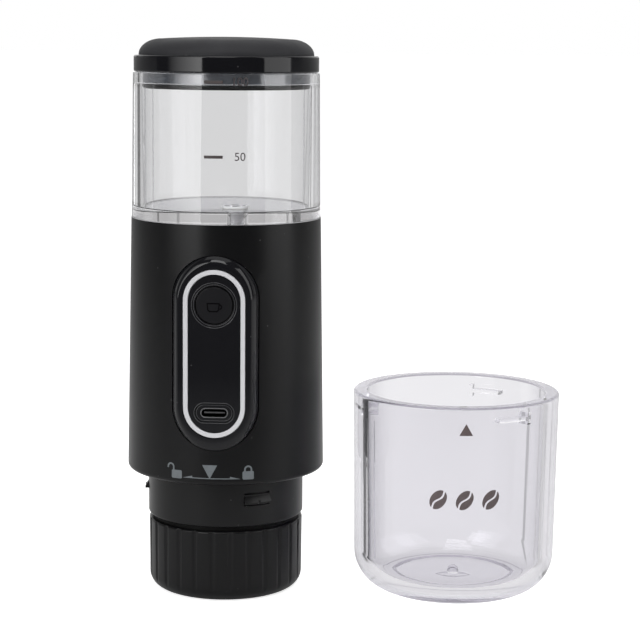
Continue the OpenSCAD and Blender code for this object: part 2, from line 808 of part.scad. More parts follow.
module filter_screen() {
    screen_r = basket_r - basket_wall - 0.2;
    hole_r = 0.5;
    color([0.7, 0.71, 0.72]) translate([0, 0, z_basket + basket_wall]) difference() {
        cylinder(r = screen_r, h = screen_t);
        for (ring = [1:4], i = [0:6 * ring - 1]) rotate(360 * i / (6 * ring)) translate([3.2 * ring, 0, -1])
            cylinder(r = hole_r, h = screen_t + 2, $fn = 16);
    }
}

module outlet_spout() {
    drop = 1;
    color([0.2, 0.2, 0.21]) rotate_extrude() polygon([[spout_bore, foot_recess - drop + 0.3], [spout_r, foot_recess - drop + 0.3],
        [spout_r, grip_floor], [spout_flange_r, grip_floor], [spout_flange_r, grip_floor + spout_flange_t],
        [spout_bore, grip_floor + 0.4]]);
}

// Cup

module coffee_cup() {
    flat_r = cup_foot_r - cup_edge_r;
    in_flat = cup_in_r - cup_in_edge;
    gate_r = 5.5;
    gate_depth = 0.7;
    nub_r = 1.6;
    z_rib = cup_h - rib_down;
    color([0.88, 0.91, 0.94, 0.35]) translate([cup_x, cup_y, 0]) difference() {
        union() {
            rotate_extrude() polygon(concat(
                [[0, gate_depth], [gate_r, gate_depth], [gate_r, 0]],
                arc([flat_r, cup_edge_r], cup_edge_r, cup_edge_r, -90, 0, 12),
                arc([cup_rim_r - rim_round, cup_h - rim_round], rim_round, rim_round, 0, 90, 4),
                arc([cup_bore_r + rim_round, cup_h - rim_round], rim_round, rim_round, 90, 180, 4),
                arc([in_flat, cup_floor + cup_in_edge], cup_in_edge, cup_in_edge, 0, -90, 8),
                [[0, cup_floor]]));
            translate([0, 0, cup_floor - nub_r / 2]) sphere(r = nub_r);
            for (b = rib_bearings) {
                sector(b, rib_span) half_box(cup_bore_r - rib_in, cup_bore_r + bite, z_rib - rib_t / 2, z_rib + rib_t / 2);
                sector(b + rib_span / 2, rib_t * 2.2) half_box(cup_bore_r - rib_in, cup_bore_r + bite, z_rib - stop_h / 2, z_rib + stop_h / 2);
            }
        }
    }
}

lid_dome();
lid_ring();
lid_plug();
lid_seal();
water_tank();
tank_gasket();
outlet_fitting();
outlet_washer();
outlet_nut();
tank_strainer();
inlet_hose();
body_shell();
top_deck();
panel_bezel();
light_ring();
control_panel();
start_button();
switch_plunger();
tact_switch();
display_module();
usb_port();
usb_gasket();
circuit_board();
chassis();
battery_cells();
battery_tabs();
pump_motor();
motor_shaft();
eccentric_cam();
cam_bearing();
pump_plunger();
plunger_spring();
valve_block();
pump_frame();
outlet_hose();
brew_collar();
collar_screws();
shower_plate();
brew_seal();
holder_gasket();
coffee_holder();
filter_basket();
filter_screen();
outlet_spout();
coffee_cup();
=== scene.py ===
import functools
import json
import math

import bmesh
import bpy
from bpy.props import FloatProperty, FloatVectorProperty, IntProperty, PointerProperty
from mathutils import Matrix, Vector


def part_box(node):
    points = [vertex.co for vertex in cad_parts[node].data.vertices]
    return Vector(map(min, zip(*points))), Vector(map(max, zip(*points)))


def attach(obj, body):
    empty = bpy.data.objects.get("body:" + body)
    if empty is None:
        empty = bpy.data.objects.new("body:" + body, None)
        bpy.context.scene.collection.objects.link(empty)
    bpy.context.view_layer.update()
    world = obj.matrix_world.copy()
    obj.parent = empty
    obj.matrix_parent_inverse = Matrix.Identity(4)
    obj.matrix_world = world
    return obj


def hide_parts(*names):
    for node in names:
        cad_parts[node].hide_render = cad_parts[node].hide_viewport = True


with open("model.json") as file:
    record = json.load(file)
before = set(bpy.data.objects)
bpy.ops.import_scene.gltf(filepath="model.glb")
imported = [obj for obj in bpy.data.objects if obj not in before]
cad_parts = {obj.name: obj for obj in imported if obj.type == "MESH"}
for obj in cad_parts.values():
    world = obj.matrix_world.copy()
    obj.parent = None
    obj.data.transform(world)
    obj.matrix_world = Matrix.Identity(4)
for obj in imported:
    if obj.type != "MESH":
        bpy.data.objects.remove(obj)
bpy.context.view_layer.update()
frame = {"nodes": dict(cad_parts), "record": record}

bl_info = {
    "name": "Portable espresso maker",
    "version": (1, 0, 0),
    "blender": (4, 5, 0),
    "location": "3D View > Sidebar > Espresso",
    "description": "Dresses the packed espresso maker: lid, tank, body, control pod, holder, cup and studio",
    "category": "Object",
}

MM = 0.001
TINY = 1e-7
ARC_STEP = math.radians(9)
SHARP = math.radians(32)
STEPS_SMALL = 128
STEPS_LID = 192
STEPS_CLEAR = 256
# Small roundings, and how far a cutter reaches past what it cuts
FINE_EDGE = 0.1 * MM
EDGE = 0.2 * MM
SOFT_EDGE = 0.3 * MM
PAST = 1 * MM


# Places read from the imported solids, in metres


@functools.cache
def box_of(node):
    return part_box(node)


def low(node):
    return box_of(node)[0]


def high(node):
    return box_of(node)[1]


def middle(node):
    return (low(node) + high(node)) / 2


Z_BODY = low("body_shell").z
Z_TANK = high("body_shell").z
Z_LID = high("water_tank").z
Z_SPIGOT = low("water_tank").z
POD_FACE = -low("light_ring").y
Z_POD = middle("light_ring").z
ON_POD = Matrix.Translation((0, -POD_FACE, Z_POD)) @ Matrix.Rotation(math.pi / 2, 4, "X")
LIGHT_RING = (2 * high("light_ring").x, high("light_ring").z - low("light_ring").z)
BUTTON_UP = middle("start_button").z - Z_POD
TO_BUTTON = Matrix.Translation((0, BUTTON_UP, 0))
BUTTON_FACE = -POD_FACE - low("start_button").y
PORT_UP = middle("usb_port").z - Z_POD
CUP_CENTRE = middle("coffee_cup")
CUP_AXIS = (CUP_CENTRE.x, CUP_CENTRE.y)
CUP_RIM = high("coffee_cup").x - CUP_CENTRE.x
CUP_HEIGHT = high("coffee_cup").z


# Sizes and colours that a user would change


def length(name, default, text):
    """A size, with its default in millimetres."""
    return FloatProperty(name=name, description=text, default=default * MM, min=0, precision=5, unit="LENGTH")


def colour(name, default, text):
    return FloatVectorProperty(name=name, description=text, default=default, min=0, max=1, size=3,
                               subtype="COLOR")


class EspressoLid(bpy.types.PropertyGroup):
    dome_corner_out: length("Dome corner reach", 7.5, "Level reach of the dome's rounded corner")
    dome_corner_up: length("Dome corner rise", 5.28, "Upright reach of the dome's rounded corner")
    dome_foot_round: length("Dome foot rounding", 0.45, "Rounding where the dome meets the ring")
    ring_round: length("Ring rounding", 0.55, "Rounding of both edges of the gloss ring")


class EspressoTank(bpy.types.PropertyGroup):
    foot_radius: length("Foot radius", 31.3, "Outer radius of the tank at its foot")
    mouth_radius: length("Mouth radius", 30.75, "Outer radius of the tank at its mouth")
    bore_top: length("Bore at the mouth", 28.1, "Radius of the bore below the mouth step")
    bore_foot: length("Bore at the floor", 27.6, "Radius of the bore at the floor")
    floor: length("Floor", 3.6, "Thickness of the floor")
    corner: length("Inner corner", 0.45, "Rounding between bore and floor")
    mouth_step: length("Mouth step", 0.4, "Widening of the bore at the mouth")
    mouth_depth: length("Mouth depth", 3.5, "Depth of the wider mouth")
    rim_round: length("Rim rounding", 0.35, "Rounding of the rim")


class EspressoPod(bpy.types.PropertyGroup):
    body_foot_radius: length("Body radius at the foot", 33, "Radius that the pod grows from, at the foot")
    body_top_radius: length("Body radius at the top", 31.5, "Radius that the pod grows from, at the tank")
    gap: length("Bezel gap", 0.12, "Fine gap between bezel and body")
    flank: length("Flank", 2.35, "Width of the sloping flank of the bezel")
    shoulder: length("Shoulder", 1.25, "Inset of the corner that the rounded flank bends round")
    panel_drop: length("Panel drop", 0.2, "Depth of the panel below the flat face")
    panel_thickness: length("Panel", 2.2, "Thickness of the panel")
    button_radius: length("Button radius", 5.9, "Radius of the start button")
    dish_radius: length("Dish radius", 7.3, "Radius of the dish round the button")
    dish_depth: length("Dish depth", 0.22, "Depth of the dish round the button")
    bead: length("Bead", 0.13, "Radius of the fine lines round dish and port")
    port_rim_width: length("Port recess width", 13, "Width of the recess round the port")
    port_rim_height: length("Port recess height", 6.6, "Height of the recess round the port")
    port_recess: length("Port recess depth", 0.5, "Depth of the recess round the port")


class EspressoHolder(bpy.types.PropertyGroup):
    flutes: IntProperty(name="Flutes", description="Flutes round the grip", default=27, min=8, max=60)
    flute_radius: length("Flute radius", 1.3, "Radius of one flute")
    flute_depth: length("Flute depth", 0.45, "Depth of one flute")
    crest_round: length("Crest rounding", 0.12, "Softening of the edge between flute and land")
    foot_radius: length("Foot radius", 25.7, "Radius of the grip at its foot")
    foot_round: length("Foot rounding", 4.9, "Rounding of the foot")
    grip_height: length("Grip height", 24, "Height of the fluted grip")
    neck_radius: length("Neck radius", 22.8, "Radius of the neck above the grip")


class EspressoCup(bpy.types.PropertyGroup):
    foot_radius: length("Foot radius", 33.6, "Outer radius above the rounded foot")
    wall: length("Wall", 4.85, "Thickness of the wall")
    floor: length("Floor", 4.8, "Thickness of the floor")
    foot_round: length("Foot rounding", 13, "Outer rounding of the foot")
    inner_round: length("Inner rounding", 7.4, "Inner rounding of the foot")
    rim_round: length("Rim rounding", 1, "Rounding of the rim")
    rib_reach: length("Rib reach", 3.1, "How far a bayonet rib stands in from the bore")
    rib_thickness: length("Rib thickness", 1.2, "Thickness of a bayonet rib")
    rib_below_rim: length("Rib depth", 5.3, "Depth of the ribs below the rim")
    ribs: IntProperty(name="Ribs", description="Bayonet ribs inside the rim", default=3, min=1, max=8)


class EspressoFinishes(bpy.types.PropertyGroup):
    body: colour("Body", (0.0046, 0.0046, 0.005), "Matt black of body, collar and grip")
    dome: colour("Dome", (0.016, 0.016, 0.0185), "Soft black of the dome")
    gloss: colour("Gloss", (0.0068, 0.0068, 0.0082), "Gloss black of ring, bezel and panel")
    button: colour("Button", (0.0112, 0.0112, 0.0125), "Black of the start button")
    tank: colour("Tank", (0.845, 0.845, 0.85), "Tint of the clear tank")
    # Painted shade of the tank where it is seen at a slant, also used on its rim under the lid
    tank_edge: colour("Tank edge", (0.74, 0.74, 0.75), "Tint of the tank where it is seen at a slant")
    # Painted shade in the tank's thick floor
    tank_floor: colour("Tank floor", (0.46, 0.455, 0.46), "Tint of the thick floor of the tank")
    cup: colour("Cup", (0.87, 0.862, 0.89), "Tint of the clear cup")
    # Painted shade of the cup where it is seen at a slant
    cup_edge: colour("Cup edge", (0.68, 0.665, 0.71), "Tint of the cup where it is seen at a slant")
    # Painted shade of the cup's underside and foot
    cup_foot: colour("Cup foot", (0.75, 0.735, 0.78), "Tint of the underside of the cup")
    # Painted shade of the cup's rim and of the fine rings on its floor and foot
    cup_rim: colour("Cup rim", (0.34, 0.32, 0.38), "Tint of the rim and of the fine rings of the cup")
    light: colour("Light ring", (0.6, 0.6, 0.62), "White of the light ring")
    print_grey: colour("Body print", (0.12, 0.135, 0.145), "Grey of the signs on the body")
    print_tank: colour("Tank print", (0.06, 0.047, 0.047), "Brown of the scale on the tank")
    print_cup: colour("Cup print", (0.112, 0.084, 0.084), "Brown of the signs on the cup")


class EspressoStage(bpy.types.PropertyGroup):
    left_light: FloatProperty(name="Left softbox", description="Radiance of the left softbox", default=5.2)
    right_light: FloatProperty(name="Right softbox", description="Radiance of the right softbox", default=2.4)
    top_light: FloatProperty(name="Top softbox", description="Radiance of the top softbox", default=1.0)
    front_light: FloatProperty(name="Front softbox", description="Radiance of the front softbox", default=5.2)
    lens: FloatProperty(name="Lens", description="Focal length of the camera in millimetres", default=108.0)


GROUPS = {
    "espresso_lid": EspressoLid,
    "espresso_tank": EspressoTank,
    "espresso_pod": EspressoPod,
    "espresso_holder": EspressoHolder,
    "espresso_cup": EspressoCup,
    "espresso_finishes": EspressoFinishes,
    "espresso_stage": EspressoStage,
}


# Mesh helpers


def rounded(corners):
    """Outline through (radius, height, fillet) corners, with each fillet drawn as an arc."""
    points = []
    for i, (x, y, fillet) in enumerate(corners):
        corner = Vector((x, y))
        if fillet <= 0:
            points.append(corner)
            continue
        back = (Vector(corners[i - 1][:2]) - corner).normalized()
        ahead = (Vector(corners[(i + 1) % len(corners)][:2]) - corner).normalized()
        inside = back.angle(ahead)
        centre = corner + (back + ahead).normalized() * fillet / math.sin(inside / 2)
        spoke = corner + back * fillet / math.tan(inside / 2) - centre
        turn = math.pi - inside
        way = 1 if back.cross(ahead) < 0 else -1
        steps = max(3, round(turn / ARC_STEP))
        points += [centre + Matrix.Rotation(way * turn * k / steps, 2) @ spoke for k in range(steps + 1)]
    return points


def on_circle(radius, bearing, z, centre=(0.0, 0.0)):
    """Point round an upright axis; bearing runs from -Y towards +X."""
    return centre[0] + radius * math.sin(bearing), centre[1] - radius * math.cos(bearing), z


def join_rings(bm, first, second):
    """Faces between two closed rings of points, either of which may be a single pole."""
    steps = max(len(first), len(second))
    if steps == 1:
        return
    for i in range(steps):
        j = (i + 1) % steps
        quad = [ring[k % len(ring)] for ring, k in ((first, i), (first, j), (second, j), (second, i))]
        bm.faces.new(list(dict.fromkeys(quad)))


def sweep(sections, closed):
    """Solid through rings of points, as a closed ring or with both ends capped."""
    bm = bmesh.new()
    rings = [[bm.verts.new(p) for p in section] for section in sections]
    for first, second in zip(rings, rings[1:]):
        join_rings(bm, first, second)
    if closed:
        join_rings(bm, rings[-1], rings[0])
    else:
        bm.faces.new(rings[0])
        bm.faces.new(rings[-1])
    bmesh.ops.recalc_face_normals(bm, faces=bm.faces)
    return bm


def lathe(outline, steps, centre=(0.0, 0.0)):
    """Closed solid turned from a half outline of (radius, height) points."""
    turns = [2 * math.pi * i / steps for i in range(steps)]
    return sweep([[on_circle(r, a, z, centre) for a in (turns if r > TINY else turns[:1])]
                  for r, z in outline], True)


def sector_block(inner, outer, z0, z1, bearing, span, centre, steps=14):
    """Block between two radii over part of a turn."""
    corners = ((inner, z0), (outer, z0), (outer, z1), (inner, z1))
    turns = [bearing + span * (i / steps - 0.5) for i in range(steps + 1)]
    return sweep([[on_circle(r, a, z, centre) for r, z in corners] for a in turns], False)


def stadium(width, height, arc_steps=40, side_steps=10):
    """Points (x, up) of an upright stadium, counter-clockwise from its lower right corner."""
    radius = width / 2
    rise = (height - width) / 2
    sides = [-1 + 2 * i / side_steps for i in range(side_steps)]
    arcs = [math.pi * i / arc_steps for i in range(arc_steps)]
    return ([(radius, k * rise) for k in sides]
            + [(radius * math.cos(a), rise + radius * math.sin(a)) for a in arcs]
            + [(-radius, -k * rise) for k in sides]
            + [(-radius * math.cos(a), -rise - radius * math.sin(a)) for a in arcs])


def upright(size, inset, out):
    """Stadium of (x, up, out) points inside a (width, height) outline of the pod."""
    return [(x, up, out) for x, up in stadium(size[0] - 2 * inset, size[1] - 2 * inset)]


def lying(size, inset, out):
    """The same on its side round the port."""
    return [(up, PORT_UP - x, out) for x, up in stadium(size[1] - 2 * inset, size[0] - 2 * inset)]


def wall_line(foot, top, degrees, centre=(0.0, 0.0)):
    """Fine upright line moulded on a bore; foot and top each give a radius and a height."""
    width, height, root = 0.3 * MM, 0.18 * MM, 0.6 * MM
    bm = sector_block(foot[0] - height, foot[0] + root, foot[1], top[1], math.radians(degrees),
                      width / foot[0], (0, 0), 2)
    for vert in bm.verts:
        lift = (vert.co.z - foot[1]) / (top[1] - foot[1])
        widening = 1 + (top[0] / foot[0] - 1) * lift
        vert.co.x *= widening
        vert.co.y *= widening
    bm.transform(Matrix.Translation((*centre, 0)))
    return loose_object("wall_line", bm)


def take_in(bm, mesh):
    """Adds a mesh to a bmesh and removes it."""
    bm.from_mesh(mesh)
    bpy.data.meshes.remove(mesh)


def add_to(bm, other):
    """Adds a second bmesh to the first and frees it."""
    mesh = bpy.data.meshes.new("part")
    other.to_mesh(mesh)
    other.free()
    take_in(bm, mesh)


def new_object(name, data):
    obj = bpy.data.objects.new(name, data)
    bpy.context.scene.collection.objects.link(obj)
    return obj


def loose_object(name, bm):
    mesh = bpy.data.meshes.new(name)
    bm.to_mesh(mesh)
    bm.free()
    return new_object(name, mesh)


def evaluated_mesh(obj):
    graph = bpy.context.evaluated_depsgraph_get()
    return bpy.data.meshes.new_from_object(obj.evaluated_get(graph), preserve_all_data_layers=True,
                                           depsgraph=graph)


def plain_mesh(obj):
    """Turns an object with its modifiers into a plain mesh."""
    made = evaluated_mesh(obj)
    obj.modifiers.clear()
    spent = obj.data
    obj.data = made
    bpy.data.meshes.remove(spent)
    made.name = obj.name
    return obj


def even_shading(obj):
    """Smooth shading with crisp edges, weighted so that flats stay flat beside small roundings."""
    obj.data.shade_smooth()
    obj.data.set_sharp_from_angle(angle=SHARP)
    weighted = obj.modifiers.new("even_shading", "WEIGHTED_NORMAL")
    weighted.keep_sharp = True
    return plain_mesh(obj)


def combine(obj, tools, operation):
    """Cuts tools from a solid or joins them to it."""
    for tool in tools:
        step = obj.modifiers.new("combine", "BOOLEAN")
        step.operation = operation
        step.solver = "EXACT"
        step.object = tool
    plain_mesh(obj)
    for tool in tools:
        spent = tool.data
        bpy.data.objects.remove(tool)
        bpy.data.meshes.remove(spent)


def dress(obj, body, slot=None, node=None, paint=None):
    """Paints a piece with the finish of its slot, or another one, and lets it ride on its body."""
    if not obj.data.polygons:
        raise RuntimeError(f"{obj.name} came out empty")
    obj.data.materials.clear()
    obj.data.materials.append(finish(paint or slot))
    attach(obj, body)
    if node:
        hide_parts(node)


def piece(name, bm, body, slot, node=None, paint=None):
    """Finished piece from a bmesh: shaded, painted, riding on its body."""
    dress(even_shading(loose_object(name, bm)), body, slot, node, paint)


# Shader node groups and finishes


class Nodes:
    """Short way to add, fill and link nodes in one node tree."""

    def __init__(self, tree, output=None):
        """A tree that gets an output node starts empty."""
        self.tree = tree
        if output:
            tree.nodes.clear()
            self.surface = self.add(output).inputs["Surface"]

    def add(self, kind, settings=None, **inputs):
        """New node; a shader node goes by the last part of its type."""
        node = self.tree.nodes.new(kind if "Node" in kind else "ShaderNode" + kind)
        for key, value in (settings or {}).items():
            setattr(node, key, value)
        return self.fill(node, **inputs)

    def fill(self, node, **inputs):
        """Sets or links inputs by name, with an underscore for each space."""
        for key, value in inputs.items():
            self.put(node.inputs[key.replace("_", " ")], value)
        return node

    def put(self, socket, value):
        if isinstance(value, bpy.types.NodeSocket):
            self.tree.links.new(value, socket)
        else:
            socket.default_value = value

    def put_all(self, node, *values):
        """Sets or links the first inputs in their order, and gives the first output."""
        for socket, value in zip(node.inputs, values):
            self.put(socket, value)
        return node.outputs[0]

    def math(self, operation, *values):
        return self.put_all(self.add("Math", {"operation": operation}), *values)

    def parts(self, vector):
        return self.add("SeparateXYZ", Vector=vector).outputs

    def share(self, value, start, end, **limits):
        """How far a value lies between two others, from 0 to 1 or between other limits."""
        return self.add("MapRange", Value=value, From_Min=start, From_Max=end, **limits).outputs[0]

    def blend(self, mask, first, second):
        """Mixes two shades by a mask; each shade is a colour or a socket."""
        mix = self.add("Mix", {"data_type": "RGBA"}, Factor=mask)
        for socket, shade in zip((mix.inputs[6], mix.inputs[7]), (first, second)):
            self.put(socket, shade if isinstance(shade, bpy.types.NodeSocket) else (*shade, 1))
        return mix.outputs[2]


def shader_group(name, outputs, **inputs):
    """New group with a Vector input, number inputs with their defaults, and number outputs."""
    group = bpy.data.node_groups.new(name, "ShaderNodeTree")
    group.interface.new_socket(name="Vector", in_out="INPUT", socket_type="NodeSocketVector")
    for label, default in inputs.items():
        socket = group.interface.new_socket(name=label, in_out="INPUT", socket_type="NodeSocketFloat")
        socket.default_value = default
    for label in outputs:
        group.interface.new_socket(name=label, in_out="OUTPUT", socket_type="NodeSocketFloat")
    nodes = Nodes(group)
    return nodes, nodes.add("NodeGroupInput").outputs, nodes.add("NodeGroupOutput")


def moulded_grain_group():
    """Fine spark-eroded grain of a moulding: a height, and a slow mottling of its tone."""
    nodes, given, out = shader_group("moulded_grain", ("Height", "Tone"), Grain=2600.0, Mottle=60.0)
    place, grain = given["Vector"], given["Grain"]
    cell_scale, cell_weight = 0.6, 0.5
    fine = nodes.add("TexNoise", Vector=place, Scale=grain, Detail=3.0, Roughness=0.6).outputs[0]
    cells = nodes.add("TexVoronoi", Vector=place, Scale=nodes.math("MULTIPLY", grain, cell_scale))
    slow = nodes.add("TexNoise", Vector=place, Scale=given["Mottle"], Detail=2.0).outputs[0]
    height = nodes.math("MULTIPLY_ADD", cells.outputs["Distance"], cell_weight, fine)
    nodes.fill(out, Height=height, Tone=slow)
    return nodes.tree


def handled_group():
    """Traces of handling: a roughness between two limits, and a mask of dust specks."""
    nodes, given, out = shader_group("handled", ("Roughness", "Dust"), Smudge=90.0, Polished=0.05,
                                     Dulled=0.12, Speck=420.0)
    place = given["Vector"]
    speck_radius, speck_rarity, smear_limits = 0.09, 0.93, (0.35, 0.7)
    smear = nodes.add("TexNoise", Vector=place, Scale=given["Smudge"], Detail=4.0, Distortion=0.8).outputs[0]
    cells = nodes.add("TexVoronoi", Vector=place, Scale=given["Speck"])
    speck = nodes.math("LESS_THAN", cells.outputs["Distance"], speck_radius)
    draw = nodes.add("SeparateColor", Color=cells.outputs["Color"]).outputs[0]
    rare = nodes.math("GREATER_THAN", draw, speck_rarity)
    rough = nodes.share(smear, *smear_limits, To_Min=given["Polished"], To_Max=given["Dulled"])
    nodes.fill(out, Roughness=rough, Dust=nodes.math("MULTIPLY", speck, rare))
    return nodes.tree


def brushed_group():
    """Fine lines of turned or drawn metal: a tone and a roughness."""
    nodes, given, out = shader_group("brushed", ("Tone", "Roughness"), Lines=900.0, Smooth=0.18, Coarse=0.38)
    drawn_out, line_limits = (0.05, 0.05, 1.0), (0.3, 0.7)
    stretch = nodes.add("Mapping", Vector=given["Vector"], Scale=drawn_out)
    lines = nodes.add("TexNoise", Vector=stretch.outputs[0], Scale=given["Lines"], Detail=4.0).outputs[0]
    rough = nodes.share(lines, *line_limits, To_Min=given["Smooth"], To_Max=given["Coarse"])
    nodes.fill(out, Tone=lines, Roughness=rough)
    return nodes.tree


# Brightness of the tent cloth by direction: each level reaches up to its bearing from straight back
TENT_SEAMS = ((-75, 0.05), (-58, 0.35), (-46, 0.7), (-38.5, 0.2), (-36, 0.95), (-34, 0.45), (-29.5, 1.0),
              (-28.8, 0.65), (-22, 1.0), (-21.2, 0.65), (-18, 1.0), (-17.2, 0.6), (-13.6, 1.0), (-12.8, 0.7),
              (7.6, 1.0), (8.4, 0.7), (12.6, 1.0), (13.6, 0.6), (18.4, 1.0), (19.2, 0.65), (24, 1.0),
              (26, 0.45), (31, 1.0), (31.8, 0.65), (40, 0.95), (52, 0.7), (66, 0.35), (180, 0.05))
TABLE_DIP = (-0.4, -0.33)
TABLE_LEVEL = 0.88
TENT_OPENING = math.radians(50)


def tent_seams_group():
    """Brightness of a light tent by direction: pale cloth with darker seams behind, open in front."""
    nodes, given, out = shader_group("tent_seams", ("Value", "Front"))
    way = nodes.parts(given["Vector"])
    turn = nodes.math("ARCTAN2", way["X"], way["Y"])
    ramp = nodes.add("ValToRGB", Fac=nodes.share(turn, -math.pi, math.pi))
    ramp.color_ramp.interpolation = "CONSTANT"
    steps = ramp.color_ramp.elements
    steps.remove(steps[1])
    start = -180
    for angle, level in TENT_SEAMS:
        step = steps[0] if start == -180 else steps.new((start + 180) / 360)
        step.color = (level, level, level, 1)
        start = angle
    above = nodes.share(way["Z"], *TABLE_DIP)
    level = nodes.add("Mix", {"data_type": "FLOAT"}, Factor=above, A=TABLE_LEVEL, B=ramp.outputs[0])
    front = nodes.math("GREATER_THAN", nodes.math("ABSOLUTE", turn), TENT_OPENING)
    nodes.fill(out, Value=level.outputs[0], Front=front)
    return nodes.tree


GROUP_MAKERS = {"moulded_grain": moulded_grain_group, "handled": handled_group, "brushed": brushed_group,
                "tent_seams": tent_seams_group}


def new_finish(name):
    """New material with its nodes, its Principled skin and its object coordinates."""
    material = bpy.data.materials.new(name)
    material.use_nodes = True
    nodes = Nodes(material.node_tree, "OutputMaterial")
    skin = nodes.add("BsdfPrincipled")
    nodes.put(nodes.surface, skin.outputs[0])
    return material, nodes, skin, nodes.add("TexCoord").outputs["Object"]


def effect(nodes, name, place, **values):
    """One of the shared groups, placed in a finish with its own values."""
    tree = bpy.data.node_groups.get(name) or GROUP_MAKERS[name]()
    return nodes.add("Group", {"node_tree": tree}, Vector=place, **values).outputs


def paler(shade, amount):
    return tuple(min(1.0, c * amount) for c in shade)


def uneven(nodes, tone, shade, dark, pale):
    """A shade between a darker and a paler one."""
    return nodes.blend(tone, paler(shade, dark), paler(shade, pale))


def moulding(name, shade, polished, dulled, grain, bump, specular=0.5, sheen=0.0, ior=1.5):
    """Moulded plastic or rubber: grained, slightly mottled, with handled patches and dust."""
    dust, dust_cover, relief = (0.4, 0.4, 0.4), 0.12, 0.05 * MM
    material, nodes, skin, place = new_finish(name)
    skin_grain = effect(nodes, "moulded_grain", place, Grain=grain)
    touch = effect(nodes, "handled", place, Polished=polished, Dulled=dulled)
    tone = uneven(nodes, skin_grain["Tone"], shade, dark=0.85, pale=1.2)
    dusty = nodes.blend(nodes.math("MULTIPLY", touch["Dust"], dust_cover), tone, dust)
    raised = nodes.add("Bump", Height=skin_grain["Height"], Strength=bump, Distance=relief)
    nodes.fill(skin, Base_Color=dusty, Roughness=touch["Roughness"], Specular_IOR_Level=specular, IOR=ior,
               Sheen_Weight=sheen, Normal=raised.outputs[0])
    return material


def metal(name, shade, smooth, coarse):
    material, nodes, skin, place = new_finish(name)
    lines = effect(nodes, "brushed", place, Smooth=smooth, Coarse=coarse)
    tone = uneven(nodes, lines["Tone"], shade, dark=0.85, pale=1.1)
    nodes.fill(skin, Base_Color=tone, Roughness=lines["Roughness"], Metallic=1.0)
    return material


def even_cover(name, shade, spread, mottle, polished, dulled, specular=0.5, cover=1.0):
    """Ink or diffuser: one shade with slightly uneven cover."""
    material, nodes, skin, place = new_finish(name)
    cloud = effect(nodes, "moulded_grain", place, Mottle=mottle)
    touch = effect(nodes, "handled", place, Polished=polished, Dulled=dulled)
    nodes.fill(skin, Base_Color=uneven(nodes, cloud["Tone"], shade, *spread), Roughness=touch["Roughness"],
               Specular_IOR_Level=specular, Alpha=cover)
    return material


# Radius, height and half width of the circles on the cup that get painted shade lines, in the rim's painted
# shade made a little darker
CUP_SHADE_RINGS = ((20.4 * MM, 4.7 * MM, 0.7 * MM), (5.5 * MM, 0.35 * MM, 0.4 * MM), (26 * MM, 1.17 * MM, 0.3 * MM))
RING_HALF_HEIGHT = 0.7 * MM


def ring_shade_mask(nodes, place, rings):
    """1 on surfaces of the cup near one of the circles, where its painted shade lines lie."""
    flat = nodes.put_all(nodes.add("VectorMath", {"operation": "MULTIPLY_ADD"}), place, (1, 1, 0),
                         (-CUP_CENTRE.x, -CUP_CENTRE.y, 0))
    away = nodes.add("VectorMath", {"operation": "LENGTH"}, Vector=flat).outputs["Value"]
    up = nodes.parts(place)["Z"]
    mask = 0.0
    for radius, height, half in rings:
        near = nodes.math("COMPARE", away, radius, half)
        mask = nodes.math("MULTIPLY_ADD", near, nodes.math("COMPARE", up, height, RING_HALF_HEIGHT), mask)
    return mask


def clear_plastic(name, shade, slant_painted_shade, thick_painted_shade, thick, rim_painted_shade, rim_low, rings=()):
    """Clear moulding with its own tint, and painted shade at slants, floor, rim and rings; lamps and
    reflections pass straight on.
    """
    slant, ring_shade_scale, index = (0.4, 0.65), 0.9, 1.49
    shine, passing_tint = (0.6, 0.6, 0.6, 1), (0.93, 0.93, 0.94, 1)
    material, nodes, skin, place = new_finish(name)
    touch = effect(nodes, "handled", place, Smudge=40.0, Polished=0.0, Dulled=0.03)
    up = nodes.parts(place)["Z"]
    facing = nodes.add("LayerWeight", Blend=0.5).outputs["Facing"]
    # Painted shade where the wall is seen at a slant
    wall = nodes.blend(nodes.share(facing, *slant), shade, slant_painted_shade)
    # Painted shade in the thick floor or foot
    tint = nodes.blend(nodes.share(up, *thick), thick_painted_shade, wall)
    # Painted shade on the rim
    tint = nodes.blend(nodes.math("GREATER_THAN", up, rim_low), tint, rim_painted_shade)
    # Painted shade lines along the rings
    if rings:
        tint = nodes.blend(ring_shade_mask(nodes, place, rings), tint, paler(rim_painted_shade, ring_shade_scale))
    nodes.fill(skin, Base_Color=tint, Roughness=touch["Roughness"], Transmission_Weight=1.0, IOR=index,
               Specular_Tint=shine)
    see_through = nodes.add("BsdfTransparent", Color=passing_tint)
    ray = nodes.add("LightPath").outputs
    mirrored = nodes.math("GREATER_THAN", ray["Is Glossy Ray"], ray["Is Transmission Ray"])
    outside = nodes.math("LESS_THAN", ray["Transmission Depth"], 0.5)
    spent = nodes.math("GREATER_THAN", ray["Ray Depth"], 2.5)
    passing = nodes.math("MULTIPLY", mirrored, nodes.math("MAXIMUM", outside, spent))
    straight = nodes.math("MAXIMUM", ray["Is Shadow Ray"], passing)
    mix = nodes.put_all(nodes.add("MixShader"), straight, skin.outputs[0], see_through.outputs[0])
    nodes.put(nodes.surface, mix)
    return material


